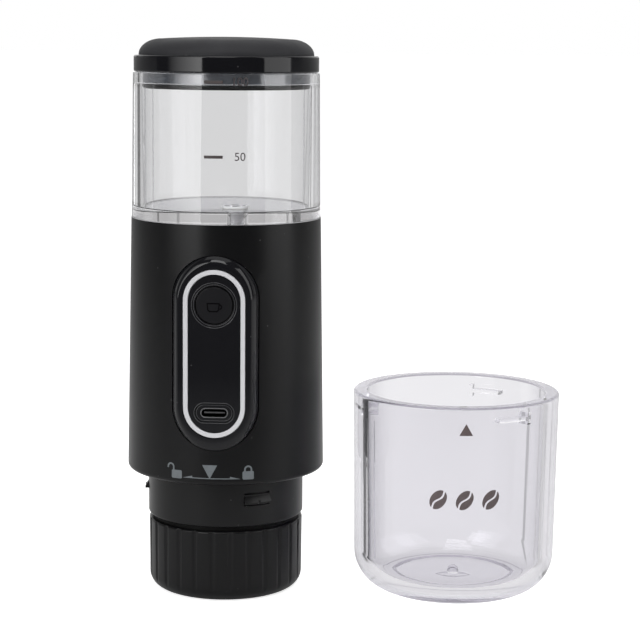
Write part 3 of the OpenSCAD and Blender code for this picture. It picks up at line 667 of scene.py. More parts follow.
def port_metal(name):
    """Plated port: bright metal at its mouth, with painted shade darkening it deeper inside and a painted
    highlight on its tongue.
    """
    # The plated metal at the mouth, and the painted shade deep inside the port
    bright, dark = (0.3, 0.3, 0.31), (0.012, 0.012, 0.013)
    half_tongue, tongue_highlight_gain, fade = 0.2 * MM, -0.45, (0.1 * MM, 0.5 * MM)
    material, nodes, skin, place = new_finish(name)
    mouth = low("usb_port").y
    across = nodes.parts(place)
    # Painted shade: the deeper inside the port, the darker
    depth = nodes.share(across["Y"], *(mouth + far for far in fade))
    off = nodes.math("ABSOLUTE", nodes.math("SUBTRACT", across["Z"], middle("usb_port").z))
    # Painted highlight along the tongue, which keeps part of the mouth's brightness
    tongue = nodes.math("LESS_THAN", off, half_tongue)
    inner = nodes.math("MULTIPLY", depth, nodes.math("MULTIPLY_ADD", tongue, tongue_highlight_gain, 1.0))
    lines = effect(nodes, "brushed", place, Smooth=0.25, Coarse=0.4)
    nodes.fill(skin, Base_Color=nodes.blend(inner, bright, dark), Roughness=lines["Roughness"], Metallic=1.0)
    return material


def board(name):
    """Solder-resist green with a faint pattern of tracks."""
    material, nodes, skin, place = new_finish(name)
    tracks = nodes.add("TexBrick", Vector=place, Scale=400.0, Mortar_Size=0.04, Color1=(0.01, 0.07, 0.03, 1),
                       Color2=(0.012, 0.085, 0.04, 1), Mortar=(0.02, 0.14, 0.06, 1))
    touch = effect(nodes, "handled", place, Polished=0.25, Dulled=0.4)
    nodes.fill(skin, Base_Color=tracks.outputs[0], Roughness=touch["Roughness"])
    return material


def finish(slot):
    """The finish of one material slot, made on first use."""
    name = "finish_" + slot
    known = bpy.data.materials.get(name)
    if known:
        return known
    paint = bpy.context.scene.espresso_finishes
    ink = ((0.8, 1.15), 900.0, 0.4, 0.55)
    # Heights over which the painted shade of the tank's floor and of the cup's foot fades out
    tank_floor = (Z_TANK + 3.3 * MM, Z_TANK + 3.6 * MM)
    cup_foot = (0.2 * MM, 3.2 * MM)
    # Each maker with its slots, and each slot with the maker's values in the order of its signature
    families = {
        moulding: {
            "matt_black": (paint.body, 0.28, 0.3, 2600.0, 0.1, 0.2),
            "collar_black": (paint.body, 0.28, 0.3, 2600.0, 0.1, 0.24),
            "soft_black": (paint.dome, 0.6, 0.7, 3200.0, 0.2, 0.3, 0.02),
            "gloss_black": (paint.gloss, 0.05, 0.1, 900.0, 0.02, 0.3),
            "button_black": (paint.button, 0.08, 0.13, 900.0, 0.02, 0.3),
            # Lighter grey of the fine lines: a painted highlight along the dish and port edges
            "line_grey": ((0.03, 0.03, 0.033), 0.2, 0.3, 900.0, 0.02, 0.6),
            "plug_grey": ((0.038, 0.045, 0.057), 0.12, 0.18, 1500.0, 0.03, 1.0, 0.0, 1.75),
            # Black silicone, made darker and duller than the rubber itself as painted shade in the gap
            # between collar and grip
            "black_silicone": ((0.0015, 0.0015, 0.0015), 0.5, 0.6, 2000.0, 0.08, 0.1),
            "white_silicone": ((0.62, 0.62, 0.6), 0.4, 0.5, 2000.0, 0.06),
            "red_silicone": ((0.3, 0.03, 0.02), 0.4, 0.5, 2000.0, 0.06),
            "milk_plastic": ((0.88, 0.89, 0.9), 0.25, 0.35, 1800.0, 0.04),
            "dark_plastic": ((0.02, 0.021, 0.023), 0.4, 0.5, 2200.0, 0.1),
            "cell_wrap": ((0.02, 0.09, 0.3), 0.2, 0.3, 700.0, 0.05),
            "display_dark": ((0.006, 0.007, 0.012), 0.06, 0.12, 900.0, 0.02),
        },
        metal: {
            "steel": ((0.62, 0.62, 0.63), 0.18, 0.34),
            "nickel": ((0.66, 0.63, 0.56), 0.22, 0.36),
            "brass_cam": ((0.7, 0.5, 0.22), 0.2, 0.36),
        },
        even_cover: {
            "light_white": (paint.light, (0.95, 1.04), 120.0, 0.3, 0.4),
            "print_grey": (paint.print_grey, *ink),
            "print_tank": (paint.print_tank, *ink, 0.5, 0.9),
            "print_cup": (paint.print_cup, *ink, 0.5, 0.96),
            "print_dark": ((0.0015, 0.0015, 0.0016), *ink, 0.0),
        },
        # Tank and cup: their own tint, then painted shade at slants, in floor or foot, and on the rim
        clear_plastic: {
            "clear_tank": (paint.tank, paint.tank_edge, paint.tank_floor, tank_floor, paint.tank_edge,
                           Z_LID - 0.4 * MM),
            "clear_cup": (paint.cup, paint.cup_edge, paint.cup_foot, cup_foot, paint.cup_rim,
                          CUP_HEIGHT - 0.6 * MM, CUP_SHADE_RINGS),
        },
        board: {"board_green": ()},
        # Plated port with painted shade inside it and a painted highlight on its tongue
        port_metal: {"port_metal": ()},
    }
    for make, slots in families.items():
        if slot in slots:
            return make(name, *slots[slot])
    raise RuntimeError(f"{slot} has no finish")


# Flat prints that are wrapped onto round pieces

PRINT_THICKNESS = 0.05 * MM
PRINT_SLICE = 0.6 * MM
# Size of the font over the height of its figures
FONT_SIZE = 1.38


def curve_mesh(curve):
    """Plain mesh of a curve or number, and the curve removed."""
    curve.extrude = PRINT_THICKNESS / 2
    obj = new_object("print_draft", curve)
    mesh = evaluated_mesh(obj)
    bpy.data.objects.remove(obj)
    bpy.data.curves.remove(curve)
    return mesh


def flat_sign(loops):
    """Thin solid inside closed loops of (x, y) points; an inner loop is a hole."""
    curve = bpy.data.curves.new("sign_draft", "CURVE")
    curve.dimensions = "2D"
    curve.fill_mode = "BOTH"
    for loop in loops:
        line = curve.splines.new("POLY")
        line.points.add(len(loop) - 1)
        for point, (x, y) in zip(line.points, loop):
            point.co = (x, y, 0, 1)
        line.use_cyclic_u = True
    return curve_mesh(curve)


def flat_number(text, cap_height):
    """Thin solid number, centred on its own middle."""
    curve = bpy.data.curves.new("number_draft", "FONT")
    curve.body = text
    curve.size = cap_height * FONT_SIZE
    curve.align_x = "CENTER"
    curve.align_y = "CENTER"
    return curve_mesh(curve)


def wrapped(bm, mesh, degrees, z, radius_at, centre=(0.0, 0.0)):
    """Adds a flat print to a bmesh, rolled onto a round wall at a bearing and height."""
    part = bmesh.new()
    take_in(part, mesh)
    bmesh.ops.remove_doubles(part, verts=part.verts, dist=TINY)
    slices = int(max(abs(v.co.x) for v in part.verts) / PRINT_SLICE)
    for k in range(-slices, slices + 1):
        bmesh.ops.bisect_plane(part, geom=part.verts[:] + part.edges[:] + part.faces[:],
                               plane_co=(k * PRINT_SLICE, 0, 0), plane_no=(1, 0, 0))
    for v in part.verts:
        radius = radius_at(z + v.co.y)
        bearing = math.radians(degrees) + v.co.x / radius
        v.co = on_circle(radius + v.co.z, bearing, z + v.co.y, centre)
    bmesh.ops.recalc_face_normals(part, faces=part.faces)
    add_to(bm, part)


def arc_points(cx, cy, radius, start, end, steps=16):
    turns = [start + (end - start) * i / steps for i in range(steps + 1)]
    return [(cx + radius * math.cos(a), cy + radius * math.sin(a)) for a in turns]


def box_loop(width, height):
    x, y = width / 2, height / 2
    return [(-x, -y), (x, -y), (x, y), (-x, y)]


def taper(z, z_foot, z_top, foot, top):
    return foot + (top - foot) * ((z - z_foot) / (z_top - z_foot))


def body_radius(z):
    pod = bpy.context.scene.espresso_pod
    return taper(z, Z_BODY, Z_TANK, pod.body_foot_radius, pod.body_top_radius)


def tank_radius(z):
    tank = bpy.context.scene.espresso_tank
    return taper(z, Z_TANK, Z_LID, tank.foot_radius, tank.mouth_radius)


def cup_radius(z):
    cup = bpy.context.scene.espresso_cup
    return taper(z, cup.foot_round, CUP_HEIGHT, cup.foot_radius, CUP_RIM)


# Operators, one for each piece or group of like pieces


class PieceOperator(bpy.types.Operator):
    """What all the steps have in common"""
    bl_options = {"REGISTER", "UNDO"}


class ESPRESSO_OT_lid(PieceOperator):
    """Make the soft dome and the gloss ring of the lid"""
    bl_idname = "espresso.lid"
    bl_label = "Lid"
    seat_gap = 0.05 * MM
    spigot_inset = 2.6 * MM
    recess_inset = 2.5 * MM
    web_height = 2.1 * MM
    crown_steps = 12

    def execute(self, context):
        lid = context.scene.espresso_lid
        self.make_dome(lid)
        self.make_ring(lid)
        return {"FINISHED"}

    def make_dome(self, lid):
        foot, top = low("lid_dome"), high("lid_dome")
        seat = high("lid_ring").z + self.seat_gap
        spigot = top.x - self.spigot_inset
        flat = top.x - lid.dome_corner_out
        shoulder = seat + lid.dome_corner_up
        under = [(0, foot.z), (spigot, foot.z), (spigot, seat), (top.x - lid.dome_foot_round, seat)]
        corner = [(flat + lid.dome_corner_out * math.cos(a), seat + lid.dome_corner_up * math.sin(a))
                  for a in map(math.radians, range(0, 91, 6))]
        inward = [1 - i / self.crown_steps for i in range(1, self.crown_steps + 1)]
        crown = [(flat * k, shoulder + (top.z - shoulder) * (1 - k ** 2)) for k in inward]
        piece("lid_dome_soft", lathe(under + corner + crown, STEPS_LID), "lid", "soft_black", "lid_dome")

    def make_ring(self, lid):
        foot, top = low("lid_ring"), high("lid_ring")
        recess = high("lid_dome").x - self.recess_inset
        web = foot.z + self.web_height
        outline = rounded([(0, foot.z, 0), (top.x, foot.z, lid.ring_round), (top.x, top.z, lid.ring_round),
                           (recess, top.z, EDGE), (recess, web, 0), (0, web, 0)])
        piece("lid_ring_gloss", lathe(outline, STEPS_LID), "lid", "gloss_black", "lid_ring")


class ESPRESSO_OT_tank(PieceOperator):
    """Make the clear water tank with its thick floor"""
    bl_idname = "espresso.tank"
    bl_label = "Water tank"
    line_turns = (-75, -66, -56, -47, 65, 74, 81, 88)
    line_gap = 0.5 * MM
    spigot_inset = 1.5 * MM
    step_round = 0.15 * MM
    foot_round = 0.4 * MM
    outlet_radius = 2.7 * MM
    outlet_steps = 48

    def execute(self, context):
        tank = context.scene.espresso_tank
        spigot_in = tank.bore_top - self.spigot_inset
        spigot_out = high("tank_gasket").x
        floor = Z_TANK + tank.floor
        mouth = tank.bore_top + tank.mouth_step
        step = Z_LID - tank.mouth_depth
        outline = rounded([
            (0, Z_TANK, 0), (spigot_in, Z_TANK, SOFT_EDGE), (spigot_in, Z_SPIGOT, FINE_EDGE),
            (spigot_out, Z_SPIGOT, EDGE), (spigot_out, Z_TANK, FINE_EDGE),
            (tank.foot_radius, Z_TANK, self.foot_round), (tank.mouth_radius, Z_LID, tank.rim_round),
            (mouth, Z_LID, tank.rim_round), (mouth, step, self.step_round),
            (tank.bore_top, step, self.step_round), (tank.bore_foot, floor, tank.corner), (0, floor, 0)])
        clear = loose_object("tank_clear", lathe(outline, STEPS_CLEAR))
        outlet = middle("outlet_fitting")
        ends = (Z_TANK - PAST, floor + PAST)
        hole = [(0, ends[0]), (self.outlet_radius, ends[0]), (self.outlet_radius, ends[1]), (0, ends[1])]
        drill = lathe(hole, self.outlet_steps, (outlet.x, outlet.y))
        combine(clear, [loose_object("outlet_hole", drill)], "DIFFERENCE")
        foot = (tank.bore_foot, floor + tank.corner)
        top = (tank.bore_top, step - self.line_gap)
        combine(clear, [wall_line(foot, top, turn) for turn in self.line_turns], "UNION")
        dress(even_shading(clear), "machine", "clear_plastic", "water_tank", "clear_tank")
        return {"FINISHED"}


class ESPRESSO_OT_pod(PieceOperator):
    """Make the control pod: bezel, light ring, panel with its raised lines, and start button"""
    bl_idname = "espresso.pod"
    bl_label = "Control pod"
    lip = 0.15 * MM
    lip_bend = 0.3 * lip
    flare = 0.16 * MM
    ring_play = 0.2 * MM
    ring_thickness = 1.5 * MM
    panel_inset = 3.2 * MM
    skirt = 1.4 * MM
    button_play = 0.35 * MM
    port_play = 0.26 * MM
    dish_line = 0.65 * MM
    port_line = 0.75 * MM
    flank_steps = 10
    # Share of the flat face that the flank still bends over, and the inset of the ends against the sides'
    flank_end = 0.1
    ends_inset = 2.2
    stem_radius = 2 * MM
    cap_play = 0.05 * MM
    cap_hollow = 0.05 * MM
    cap_round = 0.14 * MM
    cap_depth = 3.3 * MM
    flange_depths = (2.45 * MM, 3.1 * MM)

    def execute(self, context):
        pod = context.scene.espresso_pod
        self.make_bezel(pod)
        self.make_light_ring()
        self.make_panel(pod)
        self.make_lines(pod)
        self.make_button(pod)
        return {"FINISHED"}

    def pod_piece(self, name, bm, body, slot, node=None, paint=None):
        bm.transform(ON_POD)
        piece(name, bm, body, slot, node, paint)

    def make_bezel(self, pod):
        """Ring whose flank bends from the body's cone round a shoulder onto the flat face."""
        foot, top = low("panel_bezel"), high("panel_bezel")
        size = (top.x - foot.x - 2 * pod.gap, top.z - foot.z - 2 * pod.gap)
        opening = [side + self.ring_play for side in LIGHT_RING]
        back = -POD_FACE - top.y
        lip, soft = self.lip, self.lip_bend

        def ledge(inset):
            outline = stadium(size[0] - 2 * inset, size[1] - self.ends_inset * inset)
            return [(x, up, 0) for x, up in outline]

        def between(share, first, second):
            return [Vector(a).lerp(Vector(b), share) for a, b in zip(first, second)]

        foot_line = [(x, up, math.sqrt(body_radius(Z_POD + up) ** 2 - x * x) - POD_FACE)
                     for x, up in stadium(*size)]
        shoulder = ledge(pod.shoulder)
        flat = between(self.flank_end, ledge(pod.flank), upright(opening, 0, 0))
        sections = [upright(size, 0, back)]
        for i in range(self.flank_steps + 1):
            t = i / self.flank_steps
            sections.append(between(t, between(t, foot_line, shoulder), between(t, shoulder, flat)))
        sections += [upright(opening, -lip, 0), upright(opening, -soft, -soft), upright(opening, 0, -lip),
                     upright(opening, 0, back)]
        self.pod_piece("pod_bezel", sweep(sections, True), "machine", "gloss_black", "panel_bezel")

    def make_light_ring(self):
        deep = high("light_ring").y - low("light_ring").y
        thick = self.ring_thickness
        profile = rounded([(0, -deep, 0), (0, 0, EDGE), (thick, 0, EDGE), (thick, -deep, 0)])
        sections = [upright(LIGHT_RING, inset, out) for inset, out in profile]
        self.pod_piece("pod_light_ring", sweep(sections, True), "machine", "light_white", "light_ring")

    def make_panel(self, pod):
        size = [side - self.panel_inset for side in LIGHT_RING]
        lip, soft, flare, skirt = self.lip, self.lip_bend, self.flare, self.skirt
        face = -pod.panel_drop
        back, deep = face - pod.panel_thickness, -POD_FACE - high("control_panel").y
        ahead, behind = face + PAST, back - PAST
        panel = loose_object("pod_panel", sweep(
            [upright(size, 0, back), upright(size, 0, face - lip), upright(size, soft, face - soft),
             upright(size, lip, face)], False))
        hole, rim, dish_floor = pod.button_radius + self.button_play, pod.dish_radius, face - pod.dish_depth
        dish = lathe(rounded([(0, behind, 0), (hole, behind, 0), (hole, dish_floor, FINE_EDGE),
                              (rim - flare, dish_floor, FINE_EDGE), (rim, face, 0), (rim, ahead, 0),
                              (0, ahead, 0)]), STEPS_SMALL)
        dish.transform(TO_BUTTON)
        port_rim = (pod.port_rim_width, pod.port_rim_height)
        recess = sweep([lying(port_rim, flare, face - pod.port_recess), lying(port_rim, flare, face - flare),
                        lying(port_rim, 0, face), lying(port_rim, 0, ahead)], False)
        mouth = (2 * high("usb_port").x, high("usb_port").z - low("usb_port").z)
        port_hole = sweep([lying(mouth, -self.port_play / 2, out) for out in (behind, ahead)], False)
        combine(panel, [loose_object("panel_tool", tool) for tool in (dish, recess, port_hole)], "DIFFERENCE")
        tray = sweep([upright(size, 0, back), upright(size, 0, deep), upright(size, skirt, deep),
                      upright(size, skirt, back)], True)
        tray.from_mesh(panel.data)
        tray.to_mesh(panel.data)
        tray.free()
        panel.data.transform(ON_POD)
        dress(even_shading(panel), "machine", "gloss_black", "control_panel")

    def make_lines(self, pod):
        """Fine raised lines round the button's dish and the port's recess, two round each, painted a lighter
        grey than the panel as a painted highlight on top of the light they catch.
        """
        face, port_rim = -pod.panel_drop, (pod.port_rim_width, pod.port_rim_height)
        section = [(pod.bead * math.cos(a), pod.bead * math.sin(a))
                   for a in map(math.radians, range(0, 360, 30))]
        bm = bmesh.new()
        for inset, z in ((0, face), (self.dish_line, face - pod.dish_depth)):
            ring = lathe([(pod.dish_radius - inset + off, z + out) for off, out in section], STEPS_SMALL)
            ring.transform(TO_BUTTON)
            add_to(bm, ring)
        for inset, z in ((0, face), (self.port_line, face - pod.port_recess)):
            add_to(bm, sweep([lying(port_rim, inset - off, z + out) for off, out in section], True))
        self.pod_piece("pod_lines", bm, "machine", "gloss_black", paint="line_grey")

    def make_button(self, pod):
        """Cap with a hollow face, a flange behind the panel and a stem to the switch."""
        flange, back = high("start_button").x, -POD_FACE - high("start_button").y
        radius, stem = pod.button_radius - self.cap_play, self.stem_radius
        front, rear = (BUTTON_FACE - depth for depth in self.flange_depths)
        foot = BUTTON_FACE - self.cap_depth
        bm = lathe(rounded([
            (0, BUTTON_FACE - self.cap_hollow, 0), (radius, BUTTON_FACE, self.cap_round), (radius, front, 0),
            (flange, front, FINE_EDGE), (flange, rear, FINE_EDGE), (radius, rear, 0), (radius, foot, 0),
            (stem, foot, 0), (stem, back, 0), (0, back, 0)]), STEPS_SMALL)
        bm.transform(TO_BUTTON)
        self.pod_piece("pod_button", bm, "button", "gloss_black", "start_button", "button_black")


class ESPRESSO_OT_holder(PieceOperator):
    """Make the coffee holder, its flutes cut by a geometry node tree"""
    bl_idname = "espresso.holder"
    bl_label = "Coffee holder"
    wall = 3.2 * MM
    floor = 6.5 * MM
    floor_round = 0.5 * MM
    recess = 1.5 * MM
    foot_in = 13 * MM
    spout = 4.1 * MM
    grip_round = 0.6 * MM
    foot_spare = 0.01 * MM
    flute_steps = 20

    def execute(self, context):
        holder = context.scene.espresso_holder
        top = high("coffee_holder")
        grip, neck = holder.grip_height, holder.neck_radius
        cavity, crest = neck - self.wall, grip - self.grip_round
        foot, curve = holder.foot_radius, holder.foot_round
        sides = [(foot + (top.x - foot) * t, curve + (crest - curve) * t, 0) for t in (0.25, 0.5, 0.75)]
        outline = rounded([
            (self.spout, self.recess, 0), (self.foot_in, self.recess, SOFT_EDGE),
            (self.foot_in, 0, SOFT_EDGE), (foot, 0, curve - self.foot_spare), *sides,
            (top.x, grip, self.grip_round), (neck, grip, EDGE),
            (neck, top.z, SOFT_EDGE), (cavity, top.z, SOFT_EDGE), (cavity, self.floor, self.floor_round),
            (self.spout, self.floor, 0)])
        obj = loose_object("holder_grip", lathe(outline, self.flute_steps * holder.flutes))
        tree = self.flute_tree()
        step = obj.modifiers.new("flutes", "NODES")
        step.node_group = tree
        values = {"Flutes": holder.flutes, "Flute Radius": holder.flute_radius, "Outer Radius": top.x,
                  "Axis Radius": top.x + holder.flute_radius - holder.flute_depth,
                  "Crest Rounding": holder.crest_round, "Material": finish("matt_black")}
        for item in tree.interface.items_tree:
            if item.name in values:
                step[item.identifier] = values[item.name]
        dress(even_shading(plain_mesh(obj)), "holder", "matt_black", "coffee_holder")
        return {"FINISHED"}

    def flute_tree(self):
        """Pulls the wall in along evenly spaced upright flutes of round section."""
        tree = bpy.data.node_groups.new("grip_flutes", "GeometryNodeTree")
        kinds = {"Geometry": "Geometry", "Flutes": "Int", "Flute Radius": "Float", "Axis Radius": "Float",
                 "Outer Radius": "Float", "Crest Rounding": "Float", "Material": "Material"}
        for label, kind in kinds.items():
            tree.interface.new_socket(name=label, in_out="INPUT", socket_type="NodeSocket" + kind)
        tree.interface.new_socket(name="Geometry", in_out="OUTPUT", socket_type="NodeSocketGeometry")
        nodes = Nodes(tree)
        given = nodes.add("NodeGroupInput").outputs
        x, y, z = nodes.parts(nodes.add("GeometryNodeInputPosition").outputs[0])
        radius = nodes.math("SQRT", nodes.math("MULTIPLY_ADD", x, x, nodes.math("MULTIPLY", y, y)))
        pitch = nodes.math("DIVIDE", 2 * math.pi, given["Flutes"])
        half = nodes.math("MULTIPLY", pitch, 0.5)
        turn = nodes.math("ADD", nodes.math("ARCTAN2", y, x), half)
        off = nodes.math("SUBTRACT", nodes.math("FLOORED_MODULO", turn, pitch), half)
        along = nodes.math("MULTIPLY", off, given["Outer Radius"])
        squared = nodes.math("MULTIPLY", given["Flute Radius"], given["Flute Radius"])
        under = nodes.math("SUBTRACT", squared, nodes.math("MULTIPLY", along, along))
        depth = nodes.math("SQRT", nodes.math("MAXIMUM", under, 0))
        groove = nodes.math("SUBTRACT", given["Axis Radius"], depth)
        cut = nodes.math("SMOOTH_MIN", radius, groove, given["Crest Rounding"])
        scale = nodes.math("DIVIDE", cut, nodes.math("MAXIMUM", radius, 1e-6))
        moved = nodes.add("CombineXYZ", X=nodes.math("MULTIPLY", x, scale),
                          Y=nodes.math("MULTIPLY", y, scale), Z=z)
        pulled = nodes.add("GeometryNodeSetPosition", Geometry=given["Geometry"], Position=moved.outputs[0])
        real = nodes.add("GeometryNodeRealizeInstances", Geometry=pulled.outputs[0])
        painted = nodes.add("GeometryNodeSetMaterial", Geometry=real.outputs[0], Material=given["Material"])
        nodes.add("NodeGroupOutput", Geometry=painted.outputs[0])
        return tree


class ESPRESSO_OT_cup(PieceOperator):
    """Make the clear cup with its bayonet ribs"""
    bl_idname = "espresso.cup"
    bl_label = "Cup"
    line_turns = (-86, -79, -72, -64, -57, 66, 74, 81, 87)
    first_rib = math.radians(37.6)
    rib_span = math.radians(22)
    rib_root = 0.3 * MM
    stop_span = math.radians(2.64)
    stop_height = 4 * MM
    gate_radius = 5.5 * MM
    gate_depth = 0.7 * MM
    gate_round = 0.15 * MM
    gate_edge = 0.25 * MM
    nub_radius = 1.9 * MM
    nub_lift = 0.9 * MM
    nub_steps = 12
    ring_inset = 1.8 * MM
    ring_rise = 0.5 * MM
    ring_width = 1.6 * MM
    groove_at = 0.9 * MM
    groove_depth = 0.7 * MM
    line_gap = 1 * MM
    # The fine lines end this many rib depths below the rim
    line_top = 1.5

    def execute(self, context):
        cup = context.scene.espresso_cup
        bore, inner = CUP_RIM - cup.wall, cup.foot_radius - cup.wall
        gate, nub = self.gate_radius, self.nub_radius
        ring, raised = inner - cup.inner_round - self.ring_inset, cup.floor + self.ring_rise
        outline = rounded([
            (0, self.gate_depth, 0), (gate, self.gate_depth, self.gate_round), (gate, 0, self.gate_edge),
            (cup.foot_radius, 0, cup.foot_round), (CUP_RIM, CUP_HEIGHT, cup.rim_round),
            (bore, CUP_HEIGHT, cup.rim_round), (inner, raised, cup.inner_round),
            (ring + self.ring_width, raised, EDGE),
            (ring + self.groove_at, cup.floor - self.groove_depth, EDGE),
            (ring, cup.floor, EDGE), (nub, cup.floor, 0)])
        turns = [math.pi / 2 * i / self.nub_steps for i in range(self.nub_steps + 1)]
        outline += [(nub * math.cos(a), cup.floor + self.nub_lift + nub * math.sin(a)) for a in turns]
        clear = loose_object("cup_clear", lathe(outline, STEPS_CLEAR, CUP_AXIS))
        combine(clear, self.rib_tools(cup, bore), "UNION")
        foot = (inner, cup.floor + cup.inner_round + self.line_gap)
        top = (bore, CUP_HEIGHT - self.line_top * cup.rib_below_rim)
        combine(clear, [wall_line(foot, top, turn, CUP_AXIS) for turn in self.line_turns], "UNION")
        dress(even_shading(clear), "cup", "clear_plastic", "coffee_cup", "clear_cup")
        return {"FINISHED"}

    def rib_tools(self, cup, bore):
        """Each bayonet rib, and the taller stop at its end."""
        z = CUP_HEIGHT - cup.rib_below_rim
        half, tall = cup.rib_thickness / 2, self.stop_height / 2
        tip, root = bore - cup.rib_reach, bore + self.rib_root
        tools = []
        for i in range(cup.ribs):
            bearing = self.first_rib + 2 * math.pi * i / cup.ribs
            end = bearing + self.rib_span / 2
            tools += [sector_block(tip, root, z - half, z + half, bearing, self.rib_span, CUP_AXIS),
                      sector_block(tip, root, z - tall, z + tall, end, self.stop_span, CUP_AXIS, 3)]
        return [loose_object("rib_tool", tool) for tool in tools]


class ESPRESSO_OT_prints(PieceOperator):
    """Make the printed signs on body, tank, cup and button"""
    bl_idname = "espresso.prints"
    bl_label = "Prints"

    def execute(self, context):
        self.body_signs()
        self.tank_scale()
        self.cup_signs()
        self.button_sign()
        return {"FINISHED"}

    def print_piece(self, name, bm, body, paint):
        dress(loose_object(name, bm), body, paint=paint)

    def padlock(self, opened):
        """Loops of a padlock; the opened one has its shackle swung out to the left."""
        width, height, corner, sunk = 3.75 * MM, 2.7 * MM, 0.45 * MM, 0.2 * MM
        outer, thick, leg, swing = 1.35 * MM, 0.55 * MM, 0.75 * MM, 0.35 * MM
        base = height / 2 - sunk
        middle_x, top, left_foot = 0.0, base + leg, base
        if opened:
            middle_x, top, left_foot = -width / 2 - swing, top + swing, top
        right, left = middle_x + outer, middle_x - outer
        hoop = ([(right, base)] + arc_points(middle_x, top, outer, 0, math.pi)
                + [(left, left_foot), (left + thick, left_foot)]
                + arc_points(middle_x, top, outer - thick, math.pi, 0) + [(right - thick, base)])
        return rounded([(x, y, corner) for x, y in box_loop(width, height)]), hoop

    def body_signs(self):
        bm = bmesh.new()
        z = Z_BODY + 4.6 * MM
        half, tall = 2.45 * MM, 4.5 * MM
        triangle = [(-half, tall / 2), (0, -tall / 2), (half, tall / 2)]
        wrapped(bm, flat_sign([triangle]), -2.5, z, body_radius)
        for opened, turn, lift in ((True, -22.2, -1.4 * MM), (False, 19.3, -1.15 * MM)):
            for loop in self.padlock(opened):
                wrapped(bm, flat_sign([loop]), turn, z + lift, body_radius)
        reach, head, barb, line = 9.6 * MM, 3.4 * MM, 0.85 * MM, 0.3 * MM
        arrow = [(-reach, 0), (reach, 0), (reach - head, barb), (reach - head, line), (head - reach, line),
                 (head - reach, barb)]
        wrapped(bm, flat_sign([arrow]), -1.8, Z_BODY + 2.3 * MM, body_radius)
        self.print_piece("print_body_signs", bm, "machine", "print_grey")

    def tank_scale(self):
        bm = bmesh.new()
        dash, cap_height = box_loop(6 * MM, 0.95 * MM), 2.7 * MM
        for text, up in (("50", 21.6 * MM), ("100", 45.1 * MM)):
            wrapped(bm, flat_sign([dash]), -1.0, Z_TANK + up, tank_radius)
            wrapped(bm, flat_number(text, cap_height), 14.6, Z_TANK + up, tank_radius)
        self.print_piece("print_tank_scale", bm, "machine", "print_tank")

    def cup_signs(self):
        bm = bmesh.new()
        front, mark, row, pitch = 5.6, 61 * MM, 37.8 * MM, 8.6 * MM
        half, tall = 2.2 * MM, 3.9 * MM
        triangle = [(-half, -tall / 2), (half, -tall / 2), (0, tall / 2)]
        wrapped(bm, flat_sign([triangle]), front, mark, cup_radius, CUP_AXIS)
        for k in (-1, 0, 1):
            turn = front + math.degrees(k * pitch / cup_radius(row))
            for side in (-1, 1):
                wrapped(bm, flat_sign([self.half_bean(side)]), turn, row, cup_radius, CUP_AXIS)
        self.print_piece("print_cup_signs", bm, "cup", "print_cup")

    def half_bean(self, side):
        """One half of a coffee bean, leaning to the right, with a wavy crease beside it."""
        long, short, gap, wave = 3.5 * MM, 2.5 * MM, 0.3 * MM, 0.55 * MM
        lean = Matrix.Rotation(math.radians(-35), 2)
        rim = [(side * short * math.sin(a), long * math.cos(a))
               for a in (math.radians(8 + 8.2 * i) for i in range(21))]
        crease = [(side * gap + wave * math.sin(v * math.pi), v * long * 0.96)
                  for v in (-0.9 + 0.15 * i for i in range(13))]
        return [tuple(lean @ Vector(p)) for p in rim + crease]

    def button_sign(self):
        """Raised outline of a cup on the button."""
        line, width, height, curve = 0.34 * MM, 2.1 * MM, 2.9 * MM, 0.6 * MM
        half = height / 2
        right = [(width, half), (width * 0.9, curve - half), (width * 0.6, -half)]
        bowl = [(-width, half)] + right + [(-x, y) for x, y in reversed(right[1:])]
        inner = [(x * (1 - line / width), y * (1 - line / half)) for x, y in bowl]
        grip, grip_radius = (width * 0.97, 0.2 * MM), 0.85 * MM
        handle = (arc_points(*grip, grip_radius, -math.pi / 2, math.pi / 2)
                  + arc_points(*grip, grip_radius - line, math.pi / 2, -math.pi / 2))
        bm = bmesh.new()
        for loops in ([bowl, inner], [handle]):
            take_in(bm, flat_sign(loops))
        aside, below, sunk = -0.3 * MM, 0.7 * MM, 0.03 * MM
        bm.transform(ON_POD @ Matrix.Translation((aside, BUTTON_UP - below, BUTTON_FACE - sunk)))
        self.print_piece("print_button_cup", bm, "button", "print_dark")


class ESPRESSO_OT_solids(PieceOperator):
    """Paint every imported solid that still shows"""
    bl_idname = "espresso.solids"
    bl_label = "Packed solids"
    # The port's finish paints shade inside it and a highlight on its tongue
    special = {"usb_port": "port_metal", "brew_collar": "collar_black"}

    def execute(self, context):
        slots = {part["node"]: part["material_slot"] for part in frame["record"]["subparts"]}
        for name, node in frame["nodes"].items():
            if node.hide_render:
                continue
            if not node.material_slots:
                raise RuntimeError(f"{name} has no material slot")
            node.material_slots[0].material = finish(self.special.get(name, slots[name]))
        return {"FINISHED"}


